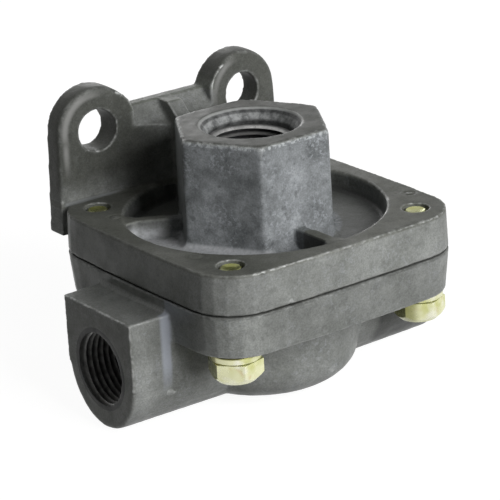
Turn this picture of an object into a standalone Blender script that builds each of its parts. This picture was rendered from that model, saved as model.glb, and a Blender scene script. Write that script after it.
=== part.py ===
"""Quick exhaust valve: a die-cast air valve with one threaded supply port on top,
two threaded delivery ports at the sides and a large exhaust hole underneath.

The sizes are in millimetres and are turned into metres where a shape is made.
While a piece is shaped, Z is zero on the cover's top face and the valve's axis
is the Z axis. A parent empty then moves the whole valve, so that the origin is
the middle of the bracket's rear face, level with its two bolt holes.
"""
import math

import bmesh
import bpy
from mathutils import Matrix, Vector

# Clearance between pieces that seat on each other or slide in each other
GAP = 0.3
# How far a cutter runs past the face it cuts, and an added shape into its neighbour
OVERLAP = 1.0

# Cover: the square flange with the round pocket in its top
COVER_HALF = 36.2
COVER_DRAFT = 0.3
COVER_THICKNESS = 9.8
CORNER_RADIUS = 12.0
SIDE_CROWN = 0.5
FLANGE_EDGE = 0.8
POCKET_RIM = 4.4
POCKET_LIP = 0.5
POCKET_DEPTH = 5.0
POCKET_FILLET = 1.6
RIB_WIDTH = 2.8
RIB_DROP = 0.4
RIB_FLARE_WIDTH = 2.4
RIB_FLARE_LENGTH = 3.0
RIB_ANGLES = (30.0, 150.0, 270.0)

# Cover: the hexagonal supply boss
HEX_ACROSS_FLATS = 34.925
HEX_HEIGHT = 21.6
HEX_DRAFT = 0.35
HEX_FOOT_FILLET = 2.2
HEX_EDGE = 0.5

# Cover: the mounting bracket and its gusset
EAR_SPACING = 44.0
EAR_HOLE_RADIUS = 5.25
EAR_HOLE_TAPER = 0.5
EAR_HOLE_HEIGHT = 17.1
EAR_RADIUS = 10.9
EAR_EDGE = 1.2
BRACKET_STANDOFF = 3.4
BRACKET_BITE = 2.3
BRACKET_DRAFT = 1.2
BRACKET_BULGE = 3.8
BRACKET_FOOT_RISE = 2.1
WEB_ABOVE_HOLES = 3.3
WEB_SLOPE = 2.5
GUSSET_WIDTH = 4.3
GUSSET_DROP = 0.15
GUSSET_TOP_LENGTH = 8.0
GUSSET_FALL_ANGLE = 41.0

# Threaded ports, bored to the thread's crest
PORT_RADIUS = 8.8
PORT_TAPER = 0.4
PORT_DEPTH = 15.0
THREAD_DEPTH = 1.3
THREAD_RUNOUT = 0.6
PASSAGE_STEP = 1.2
SUPPLY_CHAMFER_WIDTH = 2.35
SUPPLY_CHAMFER_DEPTH = 2.8

# Body: the square flange, the bowl and the two port bosses
BODY_FLANGE_THICKNESS = 10.4
BODY_DRAFT = 0.8
BOWL_WALL = 3.7
BOWL_CORNER_HEIGHT = 8.4
BOSS_WALL_SIDE = 5.1
BOSS_WALL_BELOW = 6.2
BOSS_DRAFT = 2.2
BOSS_PROUD = 11.1
BOSS_DROP = 3.7
BOSS_AXIS_DROP = 18.8
BOSS_EDGE = 1.3
BOSS_FILLET = 3.2
BOSS_TOP_FILLET = 1.8
COLLAR_WIDTH = 3.6
COLLAR_HEIGHT = 1.6
COLLAR_STEP = 0.4
COLLAR_STAND = 1.0

# Valve works inside the body
CHAMBER_RADIUS = 20.0
CHAMBER_FLOOR = 4.9
CHAMBER_CHAMFER = 1.5
SPIGOT_SHOULDER = 2.8
SPIGOT_DEPTH = 3.0
SPIGOT_CHAMFER = 0.5
RELIEF_OVERHANG = 1.5
RELIEF_DEPTH = 3.4
RELIEF_SLOPE = 1.0
INLET_SEAT_WIDTH = 2.0
INLET_SEAT_HEIGHT = 1.2
INLET_SEAT_FOOT = 3.0
DIAPHRAGM_THICKNESS = 2.6
DIAPHRAGM_LIP_THICKNESS = 1.4
DIAPHRAGM_OVERHANG = 0.9
DIAPHRAGM_STEP = 2.2
DIAPHRAGM_EDGE = 0.4
STROKE = 2.5
EXHAUST_BORE_RADIUS = 10.5
EXHAUST_LEDGE_WIDTH = 2.5
EXHAUST_LEDGE_THICKNESS = 3.0
CHIMNEY_WALL = 3.0
CHIMNEY_FLARE = 0.4
CHIMNEY_SEAT_WIDTH = 1.6
CHIMNEY_SEAT_HEIGHT = 1.0
WING_WIDTH = 2.4
WING_LENGTH = 5.0
HUB_CLEARANCE = 1.7
HUB_WALL = 1.4
HUB_LENGTH = 6.6
HUB_EDGE = 0.4
SPRING_WIRE_RADIUS = 0.6
SPRING_CLEARANCE = 0.8
SPRING_TURNS = 5.0
SPRING_END_TURNS = 0.75

# Cover seal, in a groove in the body's top face
SEAL_OFFSET = 2.5
SEAL_CORD_RADIUS = 0.95
SEAL_GROOVE_DEPTH = 1.9

# Cap screws, with a split lock washer under each head
SCREW_INSET = 8.7
SCREW_RADIUS = 3.0
SCREW_END_DEPTH = 0.5
SCREW_END_CHAMFER = 0.6
SCREW_HOLE_CLEARANCE = 0.45
HEAD_ACROSS_FLATS = 11.4
HEAD_HEIGHT = 5.1
HEAD_CHAMFER_INSET = 0.2
HEAD_CHAMFER_ANGLE = 47.0
HEAD_TURNS = (12.0, 22.0, 25.0, 51.0)
WASHER_WIDTH = 2.65
WASHER_THICKNESS = 1.6
WASHER_SLIT = 0.9
WASHER_SLIT_ANGLE = 25.0
WASHER_LEAD = 200.0

# How finely round shapes are divided
ROUND_STEPS = 52
SMALL_STEPS = 24
HOLE_STEPS = 32
CORNER_STEPS = 6
FILLET_STEPS = 3
BULGE_STEPS = 10
SPRING_STEPS = 14

# Sizes and places that follow from the ones above
POCKET_RADIUS = COVER_HALF - POCKET_RIM
HEX_RADIUS = HEX_ACROSS_FLATS / math.sqrt(3.0)
SCREW_OFFSET = COVER_HALF - SCREW_INSET
BRACKET_BACK = COVER_HALF + BRACKET_STANDOFF
WEB_FRONT = COVER_HALF - BRACKET_BITE
WEB_TOP = EAR_HOLE_HEIGHT + WEB_ABOVE_HOLES
BRACKET_FOOT = BRACKET_FOOT_RISE - COVER_THICKNESS
BRACKET_HALF = EAR_SPACING / 2.0 + EAR_RADIUS
THREAD_ROOT = PORT_RADIUS + THREAD_DEPTH
PASSAGE_RADIUS = PORT_RADIUS - PASSAGE_STEP
BODY_HALF = COVER_HALF + COVER_DRAFT
BOSS_HALF_WIDTH = PORT_RADIUS + BOSS_WALL_SIDE
BOSS_REACH = COVER_HALF + BOSS_PROUD
BOWL_RADIUS = CHAMBER_RADIUS + BOWL_WALL
SPIGOT_RADIUS = CHAMBER_RADIUS + SPIGOT_SHOULDER
RELIEF_RADIUS = CHAMBER_RADIUS + RELIEF_OVERHANG
INLET_SEAT_RADIUS = PASSAGE_RADIUS + INLET_SEAT_WIDTH
CHIMNEY_RADIUS = EXHAUST_BORE_RADIUS + CHIMNEY_WALL
EXHAUST_SEAT_RADIUS = EXHAUST_BORE_RADIUS + CHIMNEY_SEAT_WIDTH
EXHAUST_HOLE_RADIUS = EXHAUST_BORE_RADIUS - EXHAUST_LEDGE_WIDTH
COLLAR_RADIUS = EXHAUST_HOLE_RADIUS + COLLAR_WIDTH
SPRING_MEAN_RADIUS = EXHAUST_BORE_RADIUS - SPRING_CLEARANCE - SPRING_WIRE_RADIUS
HUB_RADIUS = SPRING_MEAN_RADIUS - SPRING_WIRE_RADIUS - HUB_CLEARANCE
SEAL_RADIUS = SPIGOT_RADIUS + SEAL_OFFSET
WASHER_BORE = SCREW_RADIUS + SCREW_HOLE_CLEARANCE
WASHER_RADIUS = WASHER_BORE + WASHER_WIDTH

# Heights that follow, from the top down
COVER_BASE = -COVER_THICKNESS
BODY_TOP = COVER_BASE - GAP
BODY_BASE = BODY_TOP - BODY_FLANGE_THICKNESS
SPIGOT_BASE = COVER_BASE - SPIGOT_DEPTH
INLET_SEAT_BASE = SPIGOT_BASE - INLET_SEAT_HEIGHT
DIAPHRAGM_TOP = INLET_SEAT_BASE - GAP
DIAPHRAGM_BASE = DIAPHRAGM_TOP - DIAPHRAGM_THICKNESS
SEAT_TOP = DIAPHRAGM_BASE - GAP
WING_BASE = SEAT_TOP - WING_LENGTH
EXHAUST_SEAT_TOP = DIAPHRAGM_BASE - STROKE - GAP
BOSS_TOP = COVER_BASE - BOSS_DROP
BOSS_AXIS = COVER_BASE - BOSS_AXIS_DROP
BOSS_DEPTH = PORT_RADIUS + BOSS_WALL_BELOW
COLLAR_BASE = BOSS_AXIS - BOSS_DEPTH - COLLAR_STAND
BOWL_BASE = COLLAR_BASE + COLLAR_HEIGHT
CHAMBER_BASE = BOWL_BASE + CHAMBER_FLOOR
LEDGE_TOP = COLLAR_BASE + EXHAUST_LEDGE_THICKNESS
WASHER_TOP = BODY_BASE - GAP
HEAD_TOP = WASHER_TOP - WASHER_THICKNESS - GAP


def mm(*values):
    """Millimetres to Blender's metres."""
    return Vector([value / 1000.0 for value in values])


def clear_scene():
    for old in list(bpy.data.objects):
        bpy.data.objects.remove(old, do_unlink=True)


def new_collection(name):
    collection = bpy.data.collections.new(name)
    bpy.context.scene.collection.children.link(collection)
    return collection


def make_material(name, colour, roughness, metallic):
    material = bpy.data.materials.new(name)
    material.use_nodes = True
    shader = material.node_tree.nodes["Principled BSDF"]
    shader.inputs["Base Color"].default_value = (*colour, 1.0)
    shader.inputs["Roughness"].default_value = roughness
    shader.inputs["Metallic"].default_value = metallic
    return material


def place(obj, collection):
    """Puts an object in one collection and under the valve's parent empty."""
    for other in list(obj.users_collection):
        other.objects.unlink(obj)
    collection.objects.link(obj)
    obj.parent = frame_empty
    return obj


def as_cutter(obj):
    """Keeps a helper shape out of the model, as a cutter or an added shape."""
    place(obj, helpers)
    obj.hide_render = True
    obj.display_type = "WIRE"
    return obj


def mesh_object(name, mesh_data, matrix=None):
    obj = bpy.data.objects.new(name, mesh_data)
    bpy.context.scene.collection.objects.link(obj)
    if matrix is not None:
        obj.matrix_world = matrix
    return obj


def moved(obj, x, y, z, degrees=0.0, axis="Z"):
    """Turns a helper shape about an axis through the middle, then moves it."""
    turn = Matrix.Rotation(math.radians(degrees), 4, axis)
    obj.matrix_world = Matrix.Translation(mm(x, y, z)) @ turn @ obj.matrix_world
    return obj


def baked(obj):
    """The object's evaluated mesh as a plain mesh object, in the same place."""
    bpy.context.view_layer.update()
    evaluated = obj.evaluated_get(bpy.context.evaluated_depsgraph_get())
    mesh_data = bpy.data.meshes.new_from_object(evaluated)
    shape = bmesh.new()
    shape.from_mesh(mesh_data)
    bmesh.ops.remove_doubles(shape, verts=shape.verts, dist=1e-6)
    shape.to_mesh(mesh_data)
    shape.free()
    result = mesh_object(obj.name + "_mesh", mesh_data, obj.matrix_world.copy())
    bpy.data.objects.remove(obj, do_unlink=True)
    return result


def turned(name, profile, steps=ROUND_STEPS):
    """A turned shape: (radius, height) points down the outer side, spun about Z."""
    mesh_data = bpy.data.meshes.new(name)
    shape = bmesh.new()
    points = [shape.verts.new(mm(radius, 0.0, height)) for radius, height in profile]
    for start, end in zip(points, points[1:]):
        shape.edges.new((start, end))
    if profile[0][0] > 0.0:
        shape.edges.new((points[-1], points[0]))
    shape.to_mesh(mesh_data)
    shape.free()
    obj = mesh_object(name, mesh_data)
    screw = obj.modifiers.new("spin", "SCREW")
    screw.steps = steps
    screw.render_steps = steps
    screw.use_merge_vertices = True
    screw.merge_threshold = 1e-6
    screw.use_normal_calculate = False
    return baked(obj)


def flat_outline(name, points, thickness, matrix):
    """A flat outline, filled and thickened equally to both sides of its plane."""
    curve = bpy.data.curves.new(name, "CURVE")
    curve.dimensions = "2D"
    curve.fill_mode = "BOTH"
    curve.extrude = thickness / 2000.0
    spline = curve.splines.new("POLY")
    spline.points.add(len(points) - 1)
    for point, (across, along) in zip(spline.points, points):
        point.co = (*mm(across, along, 0.0), 1.0)
    spline.use_cyclic_u = True
    obj = bpy.data.objects.new(name, curve)
    bpy.context.scene.collection.objects.link(obj)
    obj.matrix_world = matrix
    return baked(obj)


def at_height(bottom, top):
    """Places an XY outline so that it reaches from bottom to top."""
    return Matrix.Translation(mm(0.0, 0.0, (bottom + top) / 2.0))


def facing_front(front, back):
    """Places an XY outline upright: its X stays X, its Y becomes Z."""
    turn = Matrix.Rotation(math.radians(90.0), 4, "X")
    return Matrix.Translation(mm(0.0, (front + back) / 2.0, 0.0)) @ turn


def facing_side(left, right):
    """Places an XY outline upright and sideways: its X becomes Y, its Y becomes Z."""
    turn = Matrix.Rotation(math.radians(90.0), 4, "Z") @ Matrix.Rotation(math.radians(90.0), 4, "X")
    return Matrix.Translation(mm((left + right) / 2.0, 0.0, 0.0)) @ turn


def arc(centre, radius, start, end, steps):
    """Points along an arc, from one angle to another in degrees."""
    angles = [math.radians(start + (end - start) * i / steps) for i in range(steps + 1)]
    return [(centre[0] + radius * math.cos(a), centre[1] + radius * math.sin(a)) for a in angles]


def crowned_square(half, corner_radius, crown):
    """A square with round corners, whose sides swell a little at the middle."""
    reach = half - corner_radius
    points = []
    for turn in (0.0, 90.0, 180.0, 270.0):
        side = [(half + crown * (1.0 - (y / reach) ** 2), y)
                for y in (-reach / 2.0, 0.0, reach / 2.0)]
        corner = arc((reach, reach), corner_radius, 0.0, 90.0, CORNER_STEPS)
        spin = Matrix.Rotation(math.radians(turn), 2)
        points += [tuple(spin @ Vector(point)) for point in side + corner]
    return points


def drafted(obj, top, bottom, factor):
    """Scales the lower ring of a prism, so that its walls lean as cast walls do."""
    middle = (top + bottom) / 2000.0
    for vertex in obj.data.vertices:
        height = (obj.matrix_world @ vertex.co).z
        if height < middle:
            vertex.co.x *= factor
            vertex.co.y *= factor
    return obj


def bevelled(obj, width, angle=40.0):
    """Rounds the sharp edges of a helper shape for good."""
    bevel = obj.modifiers.new("edges", "BEVEL")
    bevel.width = width / 1000.0
    bevel.segments = 2
    bevel.limit_method = "ANGLE"
    bevel.angle_limit = math.radians(angle)
    return baked(obj)


def boolean(obj, operation, others):
    """Adds one live Boolean modifier for each helper shape."""
    for other in others:
        as_cutter(other)
        modifier = obj.modifiers.new(operation.lower(), "BOOLEAN")
        modifier.operation = operation
        modifier.solver = "EXACT"
        modifier.object = other


def combined(obj, operation, others):
    """Joins or cuts helper shapes at once and returns the plain mesh."""
    for other in others:
        modifier = obj.modifiers.new(operation.lower(), "BOOLEAN")
        modifier.operation = operation
        modifier.solver = "EXACT"
        modifier.object = other
    result = baked(obj)
    for other in others:
        bpy.data.objects.remove(other, do_unlink=True)
    return result


def finish(obj, name, material):
    """Names a finished piece, gives it its material and smooths its round faces."""
    obj.name = name
    obj.data.name = name
    obj.data.materials.clear()
    obj.data.materials.append(material)
    obj.data.shade_smooth()
    obj.data.set_sharp_from_angle(angle=math.radians(30.0))
    return place(obj, parts)


def cylinder(name, radius, bottom, top, x, y):
    """An upright cylinder, added as Blender's own primitive."""
    bpy.ops.mesh.primitive_cylinder_add(
        vertices=SMALL_STEPS, radius=radius / 1000.0, depth=(top - bottom) / 1000.0,
        location=mm(x, y, (top + bottom) / 2.0))
    obj = bpy.context.object
    obj.name = name
    return obj


def screw_places():
    """The four bolt positions, named by their side as seen from the front."""
    offset = SCREW_OFFSET
    return {"front_left": (-offset, -offset), "front_right": (offset, -offset),
            "rear_left": (-offset, offset), "rear_right": (offset, offset)}


def supply_boss():
    """The hexagonal boss: a profile spun in six steps, with corners on the X axis."""
    foot = -POCKET_DEPTH
    centre = (HEX_RADIUS + HEX_DRAFT + HEX_FOOT_FILLET, foot + HEX_FOOT_FILLET)
    fillet = arc(centre, HEX_FOOT_FILLET, 180.0, 270.0, FILLET_STEPS)
    profile = [(0.0, HEX_HEIGHT), (HEX_RADIUS - HEX_EDGE, HEX_HEIGHT),
               (HEX_RADIUS, HEX_HEIGHT - HEX_EDGE)]
    profile += fillet
    profile += [(centre[0], foot - OVERLAP), (0.0, foot - OVERLAP)]
    return turned("supply_boss", profile, steps=6)


def pocket_rib(angle):
    """A low rib across the pocket, from the hexagon to the rim, where it widens."""
    inner = HEX_ACROSS_FLATS / 2.0 - OVERLAP
    outer = POCKET_RADIUS + OVERLAP
    neck = POCKET_RADIUS - RIB_FLARE_LENGTH
    half = RIB_WIDTH / 2.0
    flare = half + RIB_FLARE_WIDTH
    outline = [(inner, -half), (neck, -half), (outer, -flare),
               (outer, flare), (neck, half), (inner, half)]
    bottom = -POCKET_DEPTH - OVERLAP
    rib = flat_outline("pocket_rib", outline, -RIB_DROP - bottom, at_height(bottom, -RIB_DROP))
    return moved(rib, 0.0, 0.0, 0.0, angle)


def bulge_at(x):
    """How far the bracket's front face swells forward at a distance from its middle."""
    return BRACKET_BULGE * (1.0 - abs(x) / BRACKET_HALF) ** 2


def bracket_plate():
    """The upright plate with two round ears, thicker towards its middle."""
    ear = EAR_SPACING / 2.0
    notch = math.degrees(math.asin(WEB_ABOVE_HOLES / EAR_RADIUS))
    left = arc((-ear, EAR_HOLE_HEIGHT), EAR_RADIUS, 180.0, notch, 3 * CORNER_STEPS)
    right = [(-x, z) for x, z in reversed(left)]
    foot_half = BRACKET_HALF + BRACKET_DRAFT
    elevation = [(-foot_half, BRACKET_FOOT)] + left + right + [(foot_half, BRACKET_FOOT)]
    front = WEB_FRONT - BRACKET_BULGE - OVERLAP
    plate = flat_outline("bracket_plate", elevation, BRACKET_BACK - front,
                         facing_front(front, BRACKET_BACK))
    # In plan the front face swells from the two sides towards the middle
    wide = foot_half + OVERLAP
    places = [BRACKET_HALF * (2.0 * i / BULGE_STEPS - 1.0) for i in range(BULGE_STEPS + 1)]
    plan = [(-wide, BRACKET_BACK + OVERLAP), (-wide, WEB_FRONT)]
    plan += [(x, WEB_FRONT - bulge_at(x)) for x in places]
    plan += [(wide, WEB_FRONT), (wide, BRACKET_BACK + OVERLAP)]
    bottom = BRACKET_FOOT - OVERLAP
    top = EAR_HOLE_HEIGHT + EAR_RADIUS + OVERLAP
    plan_shape = flat_outline("bracket_plan", plan, top - bottom, at_height(bottom, top))
    plate = combined(plate, "INTERSECT", [plan_shape])
    # The web's top edge between the ears falls away to the front at 45 degrees
    inner = ear - EAR_RADIUS * math.cos(math.radians(notch))
    ridge = WEB_FRONT + WEB_SLOPE
    slope = [(front, WEB_TOP + front - ridge), (ridge, WEB_TOP), (ridge, WEB_TOP + OVERLAP),
             (front, WEB_TOP + OVERLAP)]
    cutter = flat_outline("web_slope", slope, 2.0 * inner, facing_side(-inner, inner))
    return combined(plate, "DIFFERENCE", [cutter])


def gusset():
    """The rib that runs down from the bracket's web to the back of the hexagon."""
    top = WEB_TOP - GUSSET_DROP
    start = BRACKET_BACK - GUSSET_TOP_LENGTH
    end = HEX_ACROSS_FLATS / 2.0 - OVERLAP
    back = BRACKET_BACK - OVERLAP
    bottom = -POCKET_DEPTH - OVERLAP
    fall = (start - end) * math.tan(math.radians(GUSSET_FALL_ANGLE))
    outline = [(back, top), (start, top), (end, top - fall), (end, bottom), (back, bottom)]
    half = GUSSET_WIDTH / 2.0
    return flat_outline("gusset", outline, GUSSET_WIDTH, facing_side(-half, half))


def cover_flange():
    """The cover's square flange with the round pocket in its top."""
    outline = crowned_square(COVER_HALF, CORNER_RADIUS, SIDE_CROWN)
    flange = flat_outline("cover_flange", outline, COVER_THICKNESS, at_height(COVER_BASE, 0.0))
    flange = bevelled(drafted(flange, 0.0, COVER_BASE, BODY_HALF / COVER_HALF), FLANGE_EDGE)
    floor = -POCKET_DEPTH
    centre = (POCKET_RADIUS - POCKET_FILLET, floor + POCKET_FILLET)
    profile = [(0.0, OVERLAP), (POCKET_RADIUS + POCKET_LIP + OVERLAP, OVERLAP),
               (POCKET_RADIUS, -POCKET_LIP)]
    profile += arc(centre, POCKET_FILLET, 0.0, -90.0, FILLET_STEPS) + [(0.0, floor)]
    return combined(flange, "DIFFERENCE", [turned("pocket", profile)])


def spigot():
    """The round spigot under the cover, which centres it in the body."""
    return turned("spigot", [
        (0.0, COVER_BASE + OVERLAP), (SPIGOT_RADIUS, COVER_BASE + OVERLAP),
        (SPIGOT_RADIUS, SPIGOT_BASE + SPIGOT_CHAMFER),
        (SPIGOT_RADIUS - SPIGOT_CHAMFER, SPIGOT_BASE), (0.0, SPIGOT_BASE)])


def spigot_relief():
    """The hollow ring in the spigot, which gives the diaphragm's lip room to lift."""
    top = SPIGOT_BASE + RELIEF_DEPTH
    bottom = SPIGOT_BASE - OVERLAP
    inner = INLET_SEAT_RADIUS + INLET_SEAT_FOOT
    return turned("spigot_relief", [
        (RELIEF_RADIUS - RELIEF_SLOPE, top), (RELIEF_RADIUS, bottom),
        (inner, bottom), (inner - RELIEF_SLOPE, top)])


def inlet_seat():
    """The raised ring around the supply passage, on which the diaphragm closes."""
    return turned("inlet_seat", [
        (0.0, SPIGOT_BASE + OVERLAP), (INLET_SEAT_RADIUS + INLET_SEAT_WIDTH / 3.0, SPIGOT_BASE + OVERLAP),
        (INLET_SEAT_RADIUS, INLET_SEAT_BASE), (0.0, INLET_SEAT_BASE)])


def supply_passage():
    """The supply bore: chamfer, tapered thread bore and the passage down to the seat."""
    chamfer_end = HEX_HEIGHT - SUPPLY_CHAMFER_DEPTH
    thread_end = HEX_HEIGHT - PORT_DEPTH
    chamfer_slope = SUPPLY_CHAMFER_WIDTH / SUPPLY_CHAMFER_DEPTH
    mouth = THREAD_ROOT + SUPPLY_CHAMFER_WIDTH + OVERLAP * chamfer_slope
    return turned("supply_passage", [
        (0.0, HEX_HEIGHT + OVERLAP), (mouth, HEX_HEIGHT + OVERLAP),
        (THREAD_ROOT, chamfer_end), (PORT_RADIUS, chamfer_end - THREAD_RUNOUT),
        (PORT_RADIUS - PORT_TAPER, thread_end), (PASSAGE_RADIUS, thread_end - OVERLAP),
        (PASSAGE_RADIUS, INLET_SEAT_BASE - OVERLAP), (0.0, INLET_SEAT_BASE - OVERLAP)])


def ear_hole(x):
    """A bolt hole through an ear, cast with a little taper towards the rear face."""
    thickness = BRACKET_BACK - WEB_FRONT
    front = thickness + BRACKET_BULGE
    back_radius = EAR_HOLE_RADIUS - EAR_HOLE_TAPER
    hole = turned("ear_hole", [
        (0.0, front), (EAR_HOLE_RADIUS, front), (EAR_HOLE_RADIUS, thickness),
        (back_radius, -OVERLAP), (0.0, -OVERLAP)], steps=HOLE_STEPS)
    return moved(hole, x, BRACKET_BACK, EAR_HOLE_HEIGHT, 90.0, "X")


def build_cover(material):
    """The cover: one casting of flange, hexagon, bracket, ribs and spigot."""
    cover = combined(cover_flange(), "UNION", [spigot()])
    cover = combined(cover, "DIFFERENCE", [spigot_relief()])
    cover = combined(cover, "UNION", [inlet_seat(), supply_boss()])
    cover = combined(cover, "UNION", [pocket_rib(angle) for angle in RIB_ANGLES])
    tapped_holes = [cylinder("tapped_hole", SCREW_RADIUS + GAP, COVER_BASE - OVERLAP, OVERLAP, x, y)
                    for x, y in screw_places().values()]
    cover = combined(cover, "DIFFERENCE", [supply_passage()] + tapped_holes)
    ear_holes = [ear_hole(-EAR_SPACING / 2.0), ear_hole(EAR_SPACING / 2.0)]
    plate = combined(bevelled(bracket_plate(), EAR_EDGE, angle=60.0), "DIFFERENCE", ear_holes)
    boolean(cover, "UNION", [gusset(), plate])
    return finish(cover, "cover", material)


def body_flange():
    """The body's square flange, which matches the cover's lower edge."""
    outline = crowned_square(BODY_HALF, CORNER_RADIUS, SIDE_CROWN)
    flange = flat_outline("body_flange", outline, BODY_FLANGE_THICKNESS,
                          at_height(BODY_BASE, BODY_TOP))
    factor = (BODY_HALF - BODY_DRAFT) / BODY_HALF
    return bevelled(drafted(flange, BODY_TOP, BODY_BASE, factor), FLANGE_EDGE)


def bowl():
    """The round bowl under the flange, drawn in at its foot to a flat collar."""
    base_radius = COLLAR_RADIUS + COLLAR_STEP
    start = BOWL_BASE + BOWL_CORNER_HEIGHT
    reach = BOWL_RADIUS - base_radius
    curve = [(base_radius + reach * across, start + BOWL_CORNER_HEIGHT * down)
             for across, down in arc((0.0, 0.0), 1.0, 0.0, -90.0, 8)]
    profile = [(0.0, BODY_BASE + OVERLAP), (BOWL_RADIUS, BODY_BASE + OVERLAP)] + curve
    profile += [(COLLAR_RADIUS, BOWL_BASE), (COLLAR_RADIUS, COLLAR_BASE), (0.0, COLLAR_BASE)]
    return turned("bowl", profile)


def port_boss(side):
    """One port boss: round below, flat on top, and a little wider towards the bowl."""
    lower = [(across, BOSS_AXIS + BOSS_DEPTH * down / BOSS_HALF_WIDTH)
             for across, down in arc((0.0, 0.0), BOSS_HALF_WIDTH, 180.0, 360.0, 3 * CORNER_STEPS)]
    outline = lower + [(BOSS_HALF_WIDTH, BOSS_TOP), (-BOSS_HALF_WIDTH, BOSS_TOP)]
    root = BOWL_RADIUS / 2.0
    bar = flat_outline("port_boss", outline, BOSS_REACH - root, facing_side(root, BOSS_REACH))
    bar = bevelled(bar, BOSS_EDGE, angle=60.0)
    to_outline = bar.matrix_world.inverted()
    for vertex in bar.data.vertices:
        spot = bar.matrix_world @ vertex.co
        growth = BOSS_DRAFT / BOSS_HALF_WIDTH * (1.0 - 1000.0 * spot.x / BOSS_REACH)
        spot.y *= 1.0 + growth
        vertex.co = to_outline @ spot
    return moved(bar, 0.0, 0.0, 0.0, side)


def boss_fillets():
    """Hollow fillets in the corners between the bosses and the flange's sides."""
    wall = BODY_HALF - BODY_DRAFT
    centre = (wall + BOSS_FILLET, BOSS_HALF_WIDTH + BOSS_FILLET)
    inner = (wall - 2.0 * OVERLAP, BOSS_HALF_WIDTH - OVERLAP)
    outline = arc(centre, BOSS_FILLET, 270.0, 180.0, CORNER_STEPS)
    outline += [(inner[0], centre[1]), inner, (centre[0], inner[1])]
    bottom = BODY_BASE + FLANGE_EDGE / 2.0
    top = BOSS_TOP - BOSS_EDGE
    fillets = []
    for x, y in ((1, 1), (-1, 1), (-1, -1), (1, -1)):
        points = [(x * across, y * along) for across, along in outline]
        if x * y < 0:
            points.reverse()
        fillets.append(flat_outline("boss_fillet", points, top - bottom, at_height(bottom, top)))
    return fillets


def boss_top_fillets():
    """Hollow fillets where the bosses' flat tops meet the flange's sides."""
    centre = (BODY_HALF + BOSS_TOP_FILLET, BOSS_TOP + BOSS_TOP_FILLET)
    inner = (BODY_HALF - 2.0 * OVERLAP, BOSS_TOP - OVERLAP)
    outline = arc(centre, BOSS_TOP_FILLET, 270.0, 180.0, CORNER_STEPS)
    outline += [(inner[0], centre[1]), inner, (centre[0], inner[1])]
    half = BOSS_HALF_WIDTH - BOSS_EDGE / 2.0
    upright = facing_front(-half, half)
    mirrored = [(-across, up) for across, up in reversed(outline)]
    return [flat_outline("boss_top_fillet", points, 2.0 * half, upright)
            for points in (outline, mirrored)]


def body_hollow():
    """The counterbore, the chamber around the chimney, and the exhaust bore in it."""
    counterbore = SPIGOT_RADIUS + GAP
    counter_floor = SPIGOT_BASE - GAP
    return turned("body_hollow", [
        (0.0, BODY_TOP + OVERLAP), (counterbore, BODY_TOP + OVERLAP), (counterbore, counter_floor),
        (CHAMBER_RADIUS, counter_floor), (CHAMBER_RADIUS, CHAMBER_BASE + CHAMBER_CHAMFER),
        (CHAMBER_RADIUS - CHAMBER_CHAMFER, CHAMBER_BASE),
        (CHIMNEY_RADIUS + CHIMNEY_FLARE, CHAMBER_BASE),
        (CHIMNEY_RADIUS, EXHAUST_SEAT_TOP - CHIMNEY_SEAT_HEIGHT),
        (EXHAUST_SEAT_RADIUS, EXHAUST_SEAT_TOP), (EXHAUST_BORE_RADIUS, EXHAUST_SEAT_TOP),
        (EXHAUST_BORE_RADIUS, LEDGE_TOP), (EXHAUST_HOLE_RADIUS, LEDGE_TOP),
        (EXHAUST_HOLE_RADIUS, COLLAR_BASE - OVERLAP), (0.0, COLLAR_BASE - OVERLAP)])


def seal_groove():
    """The groove for the seal, with the usual clearance all round its cord."""
    half = SEAL_CORD_RADIUS + GAP
    floor = BODY_TOP - SEAL_GROOVE_DEPTH - GAP
    return turned("seal_groove", [
        (SEAL_RADIUS + half, BODY_TOP + OVERLAP), (SEAL_RADIUS + half, floor),
        (SEAL_RADIUS - half, floor), (SEAL_RADIUS - half, BODY_TOP + OVERLAP)])


def delivery_bore(side):
    """A tapered thread bore and its passage, from a boss's face to the chamber."""
    inner_end = (CHIMNEY_RADIUS + CHAMBER_RADIUS) / 2.0
    thread_end = BOSS_REACH - PORT_DEPTH
    bore = turned("delivery_bore", [
        (0.0, BOSS_REACH + OVERLAP), (PORT_RADIUS, BOSS_REACH + OVERLAP),
        (PORT_RADIUS - PORT_TAPER, thread_end),
        (PASSAGE_RADIUS, thread_end - OVERLAP), (PASSAGE_RADIUS, inner_end), (0.0, inner_end)])
    return moved(bore, 0.0, 0.0, BOSS_AXIS, side, "Y")


def build_body(material):
    """The body: one casting of flange, bowl, port bosses and exhaust chimney."""
    added = [bowl(), port_boss(0.0), port_boss(180.0)] + boss_fillets() + boss_top_fillets()
    body = combined(body_flange(), "UNION", added)
    screw_holes = [cylinder("screw_hole", WASHER_BORE, BODY_BASE - OVERLAP, BODY_TOP + OVERLAP, x, y)
                   for x, y in screw_places().values()]
    bores = [body_hollow(), seal_groove(), delivery_bore(90.0), delivery_bore(-90.0)]
    boolean(body, "DIFFERENCE", bores + screw_holes)
    return finish(body, "body", material)


def build_diaphragm(material):
    """The rubber disc: a thick middle that seats, and a thin lip that lets air past."""
    middle = EXHAUST_SEAT_RADIUS + DIAPHRAGM_OVERHANG
    rim = CHAMBER_RADIUS - 2.0 * GAP
    edge = DIAPHRAGM_EDGE
    lip_top = DIAPHRAGM_BASE + DIAPHRAGM_LIP_THICKNESS
    disc = turned("diaphragm", [
        (0.0, DIAPHRAGM_TOP), (middle, DIAPHRAGM_TOP),
        (middle + DIAPHRAGM_STEP - edge, lip_top + edge), (middle + DIAPHRAGM_STEP, lip_top),
        (rim - edge, lip_top), (rim, lip_top - edge),
        (rim, DIAPHRAGM_BASE + edge), (rim - edge, DIAPHRAGM_BASE), (0.0, DIAPHRAGM_BASE)])
    return finish(disc, "diaphragm", material)


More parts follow.
